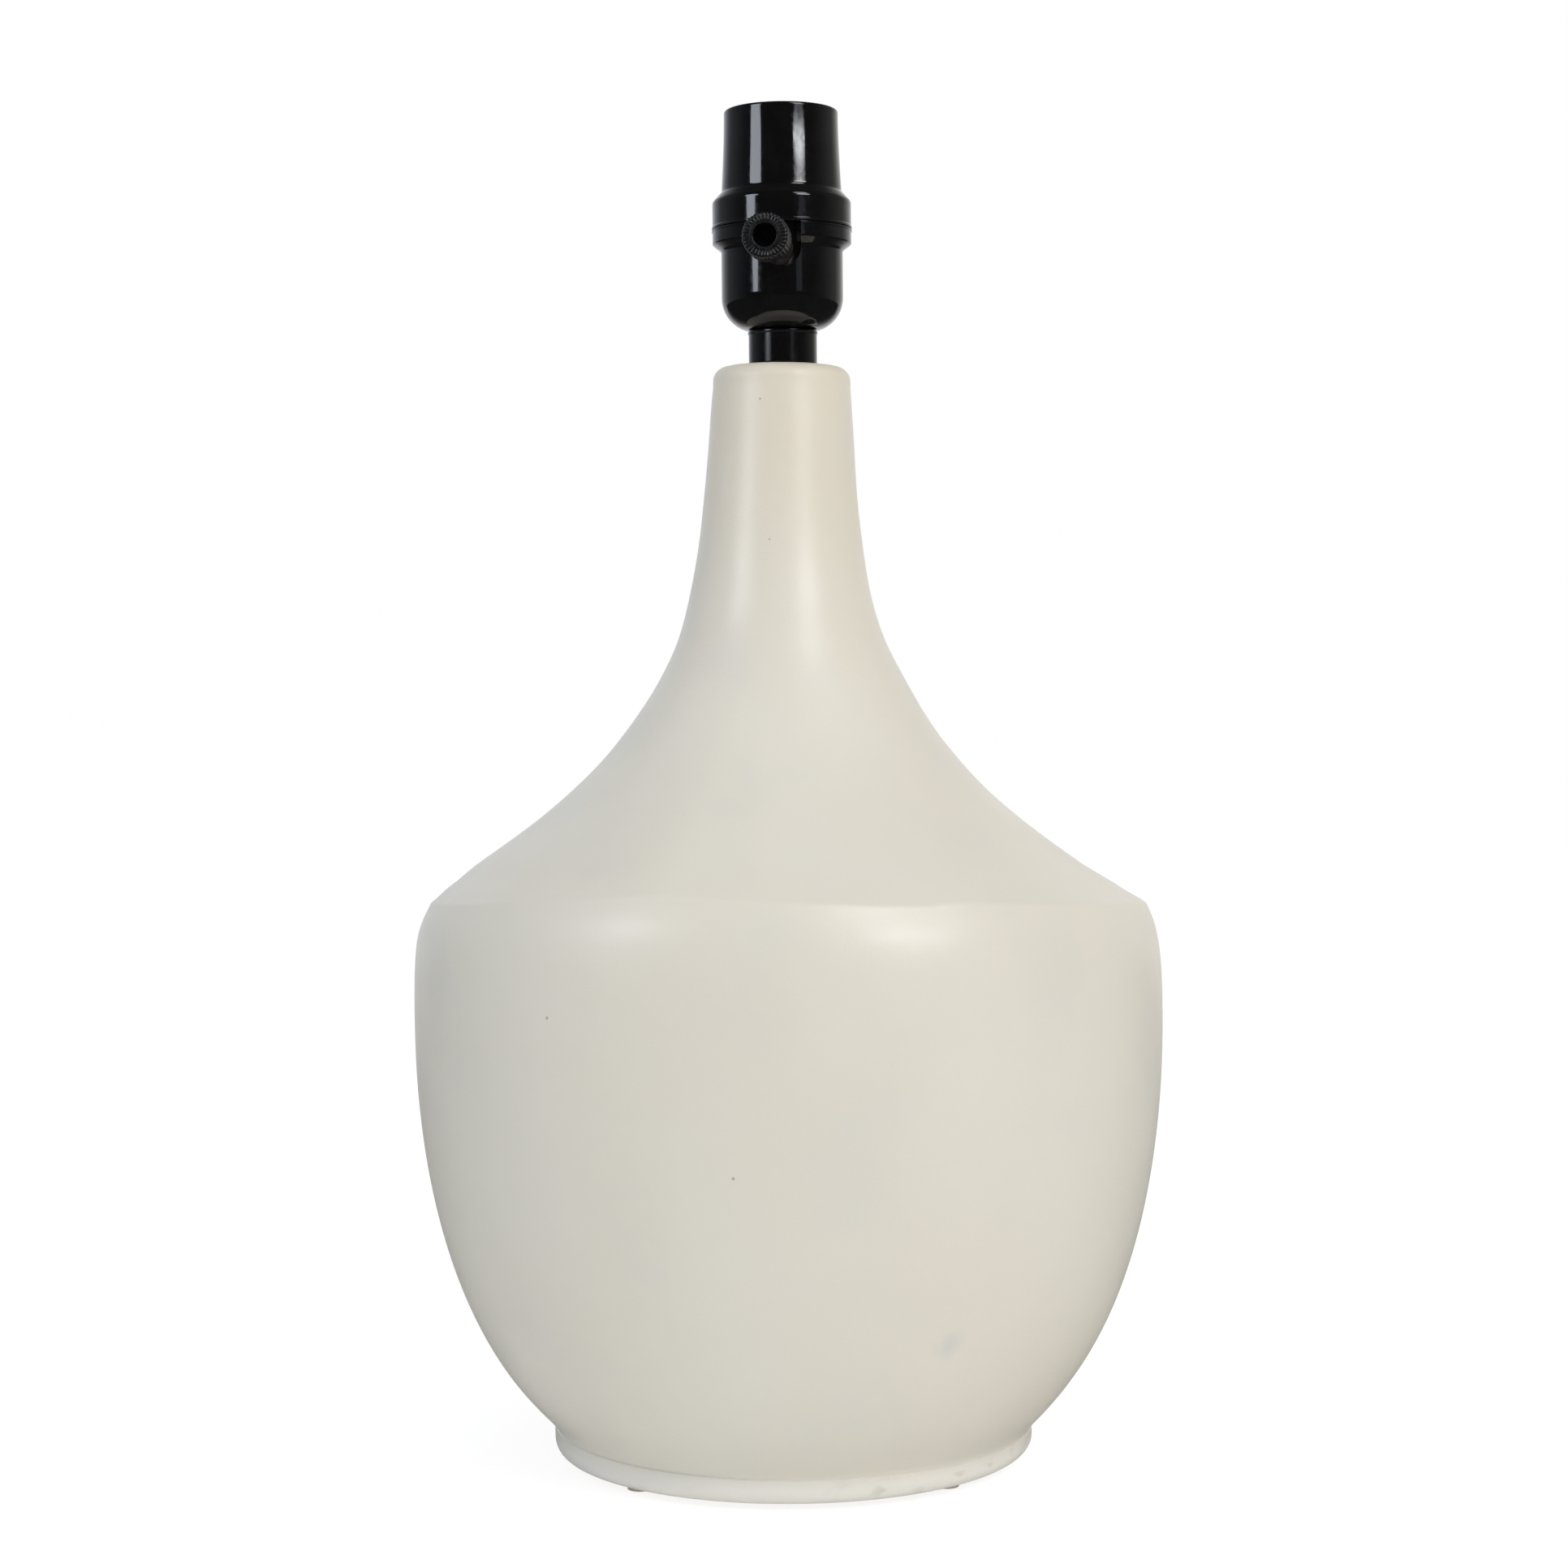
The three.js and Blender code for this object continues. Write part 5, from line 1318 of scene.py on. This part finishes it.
class LAMP_OT_centre_contact(bpy.types.Operator):
    """Makes the sprung brass leaf under the bulb's tip, and its rivet"""

    bl_idname = "lamp.centre_contact"
    bl_label = "Centre contact"

    def execute(self, context):
        self.leaf(context.scene.lamp_holder.sheet)
        self.rivet()
        return {"FINISHED"}

    def leaf(self, sheet):
        """A strip that lies flat at its rivet, rises and curls over at its tip."""
        rivet = 6.3 * MM
        tail = 1.7 * MM
        rise = 3.4 * MM
        tip = 3.6 * MM
        tip_height = 1.5 * MM
        width = 5 * MM
        hole_radius = 1.35 * MM
        stamped_edge = 0.06 * MM
        above_web = 0.35 * MM
        bend_steps = 12
        bottom = WEB_TOP + above_web
        thickness = 0.98 * sheet  # pressed a little thinner than the sheet
        ramp = [Vector((-rivet + tail, bottom)), Vector((-sheet, bottom + rise - sheet))]
        hump = Vector((tip / 2, bottom + rise))
        end = Vector((tip, bottom + tip_height))
        under = [Vector((-rivet - tail, bottom)), ramp[0]]
        for i in range(bend_steps + 1):
            t = i / bend_steps
            under.append((1 - t) ** 2 * ramp[1] + 2 * t * (1 - t) * hump + t * t * end)
        over = []
        for i, point in enumerate(under):
            before = under[max(i - 1, 0)]
            after = under[min(i + 1, len(under) - 1)]
            along = (after - before).normalized()
            over.append(point + Vector((-along.y, along.x)) * thickness)
        strip = prism([*under, *reversed(over)], width)
        strip = moved(strip, Matrix.Translation((0, 0, -width / 2)))
        strip = moved(strip, TURNED @ Matrix.Rotation(-math.pi / 2, 4, "Z") @ TO_FRONT)
        hole = rod(hole_radius, bottom - OVERRUN / 2, OVERRUN, TURNED @ Vector((0, rivet, 0)))
        leaf = softened(combined(strip, [hole]), stamped_edge)
        add_piece("contact_spring", leaf, "brass", ["centre_contact"], body="contact_leaf")

    def rivet(self):
        """A rivet with a flat head below and a round head above."""
        low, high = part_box("contact_rivet")
        head_height = 0.7 * MM
        head = 1.7 * MM
        shank = 1 * MM
        rivet = turned(
            [
                (0, low.z),
                (head, low.z, FINE_EDGE),
                (head, low.z + head_height, FINE_EDGE),
                (shank, low.z + head_height),
                (shank, high.z - head_height),
                (head, high.z - head_height, FINE_EDGE / 2),
                (head, high.z, head_height * 0.8),
                (0, high.z),
            ],
            SCREW_STEPS,
        )
        stood_at(rivet, middle_of("contact_rivet"))
        add_piece("contact_rivet_head", rivet, "brass", ["contact_rivet"])


# Knob and switch

RIB_STEP = 0.5 * MM  # between points along the knob's outline, so that its ribs can fade
POINTS_TO_A_RIB = 12


class LAMP_OT_turn_knob(bpy.types.Operator):
    """Makes the ribbed knob, hollow at its end"""

    bl_idname = "lamp.turn_knob"
    bl_label = "Turn knob"

    def execute(self, context):
        sizes = context.scene.lamp_holder
        back = 21.4 * MM  # from the lamp's axis
        end = back + 20.1 * MM
        stem = 3.6 * MM
        stem_end = back + 4 * MM
        bore = 2.2 * MM
        web = 1 * MM
        taper = 0.8 * MM  # between the ribs and the flared stem behind them
        step_in = 0.9 * MM  # and how far the knob narrows over it
        face_drop = 0.2 * MM  # from the bead's crest to the end face's outer edge
        dish = 0.15 * MM  # and from there to its inner edge
        bead_width = 0.85 * MM
        facet = 0.15 * MM
        bead = sizes.knob_recess_radius + bead_width
        recess_floor = end - sizes.knob_recess_depth
        head_back = end - sizes.knob_head
        smooth_corners = [
            (0, recess_floor),
            (0, recess_floor - web),
            (bore, recess_floor - web),
            (bore, back),
            (stem, back, 0.6 * MM),
            (stem, stem_end, sizes.knob_head / 2),
            (sizes.knob_radius - step_in, head_back - taper, taper / 2),
        ]
        ribbed_corners = [
            (sizes.knob_radius, head_back, 0.5 * MM),
            (sizes.knob_radius, end - face_drop, 1 * MM),
            (bead + facet, end - face_drop - dish, 0.1 * MM),
        ]
        bead_corners = [
            (bead, end, facet),
            (sizes.knob_recess_radius, end, 0.25 * MM),
            (sizes.knob_recess_radius, recess_floor, 0.3 * MM),
        ]
        points = self.spread(outline(smooth_corners + ribbed_corners + bead_corners))
        face_ribs = (bead + 0.1 * MM, bead + 0.8 * MM)  # radii between which the ribs set in
        side_ribs = (head_back - 0.6 * MM, head_back)  # places along the knob where they set in
        over_edge = (end - 1.1 * MM, end - 0.4 * MM)  # and where they turn from side to end face

        def section(angle):
            """The knob's outline at an angle, cut in where a flute lies."""
            flute = (0.5 - 0.5 * math.cos(sizes.knob_ribs * angle)) ** 2
            result = []
            for r, z in points:
                ribbed = smooth_step(r, *face_ribs) * smooth_step(z, *side_ribs)
                cut = sizes.knob_rib_depth * flute * ribbed
                facing = smooth_step(z, *over_edge)
                result.append((r - cut * (1 - facing), z - cut * facing))
            return result

        knob = moved(swept_round(section, sizes.knob_ribs * POINTS_TO_A_RIB), ON_KNOB_AXIS)
        add_piece(
            "ribbed_knob",
            knob,
            "black_phenolic",
            ["turn_knob"],
            body="switch_spindle",
            look="handled_phenolic",
        )
        return {"FINISHED"}

    def spread(self, points):
        """More points on the long stretches of an outline."""
        result = []
        for before, point in zip([points[-1], *points], points):
            count = max(1, round((point - before).length / RIB_STEP))
            result += [before.lerp(point, (i + 1) / count) for i in range(count)]
        return result


INNER_FINISHES = {
    "cap_hub": "brass",
    "hub_screw": "zinc",
    "switch_housing": "brown_phenolic",
    "terminal_plate_hot": "brass",
    "terminal_screw_hot": "brass",
    "terminal_plate_neutral": "nickel",
    "terminal_screw_neutral": "nickel",
    "switch_shaft": "zinc",
    "switch_cam": "brown_phenolic",
    "switch_bridge": "brass",
}


class LAMP_OT_inner_finishes(bpy.types.Operator):
    """Gives the switch and the other inner nodes their finishes"""

    bl_idname = "lamp.inner_finishes"
    bl_label = "Inner finishes"

    def execute(self, context):
        for node, slot in INNER_FINISHES.items():
            frame["nodes"][node].material_slots[0].material = finish(slot)
        return {"FINISHED"}


# Studio

SENSOR_WIDTH = 36
WHITE = (1.0, 1.0, 1.0, 1.0)
TABLE_HALF = 3.0
TABLE_WHITE = 0.85  # how much of the light on it the table throws back at the lamp
TABLE_SHOWS = 0.26  # how much of that light the camera sees, so that a faint shadow stays
TABLE_GLOW = 0.84  # and the rest of its white
TABLE_FILL = 0.24  # light that it adds from below, as a white sweep lit from all sides does
TABLE_DARK = 0.03  # how much of the light on it polished parts mirror
MIRRORED_FRONT = 0.02  # what polished parts mirror of the table in front of the lamp and beside it
MIRRORED_BACK = 0.9  # and what they mirror of it behind the lamp
MIRRORED_REACH = 0.8  # metres over which the one turns into the other
ELLIPSE_SHARE = math.pi / 4  # of the rectangle round it

# Name: degrees from the front towards the right, distance, bottom, top and width in metres,
# brightness as 1 for white, sRGB tint, and whether matt or polished surfaces answer to it
SOFTBOXES = {
    "right_key": (30, 1.3, 0.9, 1.4, 0.5, 14.0, "#FFFAF0", "matt"),
    "left_fill": (-60, 0.35, 1.4, 2.0, 0.6, 12.0, "#F6F8FF", "matt"),
    "left_window": (-52, 3.00, 0.67, 2.11, 1.26, 6.0, "#EFF4FF", "polished"),
    "left_window_foot": (-52, 3.00, 0.56, 0.74, 1.26, 1.3, "#EFF4FF", "polished"),
    "right_umbrella": (37, 3.45, 1.36, 1.96, 1.5, 11.0, "#FBFCFF", "polished"),
    "right_umbrella_top": (37, 3.45, 1.90, 2.62, 1.38, 1.6, "#FBFCFF", "polished"),
    "high_right": (37, 3.45, 3.16, 4.51, 1.80, 9.0, "#FBFCFF", "polished"),
    "right_core": (36, 3.42, 1.20, 1.31, 1.50, 13.0, "#FBFDFF", "polished"),
    "right_glow": (36, 3.39, 0.94, 1.48, 1.20, 1.3, "#F0F4FF", "polished"),
    "right_trace": (32, 3.36, 0.55, 0.94, 0.66, 0.3, "#E4ECFF", "polished"),
}


def seen_directly(tree, rays):
    """1 for what the camera sees, straight or through something clear."""
    both = {0: rays["Is Camera Ray"], 1: rays["Is Transmission Ray"]}
    return add_node(tree, "ShaderNodeMath", both, MAXIMUM)


def white_table():
    """A table that the camera sees white, with the lamp's shadow.

    Polished parts mirror it dark in front of the lamp and white behind it.
    """
    material, tree, place = new_material("white_table")
    rays = add_node(tree, "ShaderNodeLightPath").node.outputs
    mirrored = rays["Is Glossy Ray"]
    seen = seen_directly(tree, rays)
    x, y, _ = add_node(tree, "ShaderNodeSeparateXYZ", {0: place}).node.outputs
    aside = add_node(tree, "ShaderNodeMath", {0: x}, {"operation": "ABSOLUTE"})
    behind = add_node(tree, "ShaderNodeMath", {0: y, 1: aside}, SUBTRACT)
    far = {"Value": behind, "From Min": 0.0, "From Max": MIRRORED_REACH}
    far = {**far, "To Min": MIRRORED_FRONT, "To Max": MIRRORED_BACK}
    far = add_node(tree, "ShaderNodeMapRange", far, SMOOTH)
    far = add_node(tree, "ShaderNodeMath", {0: far, 1: TABLE_FILL}, SUBTRACT)
    glow = {0: seen, 1: TABLE_GLOW - TABLE_FILL, 2: TABLE_FILL}
    glow = add_node(tree, "ShaderNodeMath", glow, MULTIPLY_ADD)
    glow = add_node(tree, "ShaderNodeMath", {0: mirrored, 1: far, 2: glow}, MULTIPLY_ADD)
    paint = tone([TABLE_WHITE] * 3)
    for share, level in ((seen, TABLE_SHOWS), (mirrored, TABLE_DARK)):
        paint = {0: share, FIRST_COLOUR: paint, SECOND_COLOUR: tone([level] * 3)}
        paint = add_node(tree, "ShaderNodeMix", paint, MIX_COLOURS, MIXED_COLOUR)
    matt = add_node(tree, "ShaderNodeBsdfDiffuse", {"Color": paint})
    lit = add_node(tree, "ShaderNodeEmission", {"Color": WHITE, "Strength": glow})
    both = add_node(tree, "ShaderNodeAddShader", {0: matt, 1: lit})
    add_node(tree, "ShaderNodeOutputMaterial", {"Surface": both})
    return material


def room(studio):
    """White behind the lamp, soft light all round, and a dark room in front for polished parts."""
    world = bpy.data.worlds.new("room")
    bpy.context.scene.world = world
    world.use_nodes = True
    tree = world.node_tree
    tree.nodes.clear()
    way = add_node(tree, "ShaderNodeTexCoord", output="Generated")
    x, y, z = add_node(tree, "ShaderNodeSeparateXYZ", {0: way}).node.outputs
    rays = add_node(tree, "ShaderNodeLightPath").node.outputs
    seen = seen_directly(tree, rays)

    # Matt parts are lit softly, most from above and some from the front.
    above = {"Value": z, "From Min": -1.0, "From Max": 1.0, "To Min": 0.0, "To Max": studio.overhead}
    above = add_node(tree, "ShaderNodeMapRange", above)
    ahead = {"Value": y, "From Min": -1.0, "From Max": 1.0, "To Min": studio.frontal, "To Max": 0.0}
    ahead = add_node(tree, "ShaderNodeMapRange", ahead)
    soft = add_node(tree, "ShaderNodeMath", {0: above, 1: ahead}, ADD)

    # Polished parts mirror a dark room in front, grey sides, white behind and a dim ceiling.
    sides = {"Value": y, "From Min": -0.6, "From Max": 0.6, "To Min": 0.02, "To Max": 0.27}
    sides = add_node(tree, "ShaderNodeMapRange", sides, SMOOTH)
    back = {"Value": y, "From Min": 0.45, "From Max": 1.0, "To Min": 0.0, "To Max": 0.73}
    back = add_node(tree, "ShaderNodeMapRange", back, SMOOTH)
    polished = add_node(tree, "ShaderNodeMath", {0: sides, 1: back}, ADD)
    ceiling = {"Value": z, "From Min": 0.3, "From Max": 0.9, "To Min": 1.0, "To Max": 0.2}
    ceiling = add_node(tree, "ShaderNodeMapRange", ceiling, SMOOTH)
    polished = add_node(tree, "ShaderNodeMath", {0: polished, 1: ceiling}, MULTIPLY)
    strength = {0: rays["Is Glossy Ray"], 2: soft, 3: polished}
    strength = add_node(tree, "ShaderNodeMix", strength)
    strength = add_node(tree, "ShaderNodeMix", {0: seen, 2: strength, 3: 1.0})

    # The light is cool from the left and warm from the right, and the camera sees plain white.
    right = {"Value": x, "From Min": -0.7, "From Max": 0.5}
    right = add_node(tree, "ShaderNodeMapRange", right, SMOOTH)
    tint = tone(studio.cool)
    for share, other in ((right, tone(studio.warm)), (seen, WHITE)):
        tint = {0: share, FIRST_COLOUR: tint, SECOND_COLOUR: other}
        tint = add_node(tree, "ShaderNodeMix", tint, MIX_COLOURS, MIXED_COLOUR)
    background = add_node(tree, "ShaderNodeBackground", {"Color": tint, "Strength": strength})
    add_node(tree, "ShaderNodeOutputWorld", {"Surface": background})


def add_softbox(name, azimuth, distance, bottom, top, width, brightness, tint, surfaces):
    """A lit panel that faces the lamp's axis."""
    light = bpy.data.lights.new(name, "AREA")
    light.shape = "ELLIPSE"
    light.size = width
    light.size_y = top - bottom
    area = width * (top - bottom) * ELLIPSE_SHARE
    light.energy = brightness * math.pi * area  # shines as brightly as its number says
    light.color = linear(tint)
    panel = bpy.data.objects.new(name, light)
    bpy.context.scene.collection.objects.link(panel)
    panel.visible_camera = False
    panel.visible_diffuse = surfaces == "matt"
    panel.visible_glossy = surfaces == "polished"
    angle = math.radians(azimuth)
    panel.location = (distance * math.sin(angle), -distance * math.cos(angle), (bottom + top) / 2)
    panel.rotation_euler = (math.pi / 2, 0, angle)


class LAMP_OT_stage(bpy.types.Operator):
    """Makes the camera, the lights, the white room and the table"""

    bl_idname = "lamp.stage"
    bl_label = "Stage"

    def execute(self, context):
        studio = context.scene.lamp_studio
        camera = bpy.data.cameras.new("camera")
        camera.lens = studio.focal_length
        camera.sensor_width = SENSOR_WIDTH
        viewer = bpy.data.objects.new("camera", camera)
        context.scene.collection.objects.link(viewer)
        level = Matrix.Rotation(math.pi / 2 - studio.pitch, 4, "X")
        place = Matrix.Translation((-studio.side_step, -studio.distance, studio.eye_height))
        viewer.matrix_world = place @ level @ Matrix.Rotation(studio.roll, 4, "Z")
        context.scene.camera = viewer
        context.scene.view_settings.view_transform = "Standard"
        self.table()
        room(studio)
        for name, settings in SOFTBOXES.items():
            add_softbox(name, *settings)
        return {"FINISHED"}

    def table(self):
        """A flat table top that the lamp stands on."""
        mesh = bpy.data.meshes.new("table_top")
        corners = [(x * TABLE_HALF, y * TABLE_HALF, 0) for x, y in ((-1, -1), (1, -1), (1, 1), (-1, 1))]
        mesh.from_pydata(corners, [], [(0, 1, 2, 3)])
        mesh.materials.append(white_table())
        table = bpy.data.objects.new("table_top", mesh)
        bpy.context.scene.collection.objects.link(table)


OPERATORS = (
    LAMP_OT_stage,
    LAMP_OT_glazed_body,
    LAMP_OT_felt_pads,
    LAMP_OT_floor_clamp,
    LAMP_OT_threaded_pipe,
    LAMP_OT_cord_inlet,
    LAMP_OT_neck_fittings,
    LAMP_OT_holder_cap,
    LAMP_OT_holder_shell,
    LAMP_OT_screw_shell,
    LAMP_OT_long_screws,
    LAMP_OT_centre_contact,
    LAMP_OT_turn_knob,
    LAMP_OT_inner_finishes,
)


class LAMP_PT_sidebar(bpy.types.Panel):
    """Lists the lamp's pieces in the sidebar"""

    bl_idname = "LAMP_PT_sidebar"
    bl_label = "Ceramic table lamp"
    bl_space_type = "VIEW_3D"
    bl_region_type = "UI"
    bl_category = "Lamp"

    def draw(self, context):
        for operator in OPERATORS:
            self.layout.operator(operator.bl_idname)


SETTINGS = {
    "lamp_body": LampBodySizes,
    "lamp_holder": LampHolderSizes,
    "lamp_fittings": LampFittingSizes,
    "lamp_colours": LampColours,
    "lamp_studio": LampStudio,
}


def register():
    """Makes the settings, the operators and the panel known to Blender."""
    for settings in SETTINGS.values():
        bpy.utils.register_class(settings)
    for name, settings in SETTINGS.items():
        setattr(bpy.types.Scene, name, PointerProperty(type=settings))
    for listed in (*OPERATORS, LAMP_PT_sidebar):
        bpy.utils.register_class(listed)


def unregister():
    """Takes the panel and the operators out again, and the settings last."""
    for listed in (LAMP_PT_sidebar, *OPERATORS):
        bpy.utils.unregister_class(listed)
    for name in SETTINGS:
        delattr(bpy.types.Scene, name)
    for settings in SETTINGS.values():
        bpy.utils.unregister_class(settings)


def main():
    """Makes the lamp and its stage."""
    register()
    for operator in OPERATORS:
        group, name = operator.bl_idname.split(".")
        getattr(getattr(bpy.ops, group), name)()


if __name__ == "__main__":
    main()
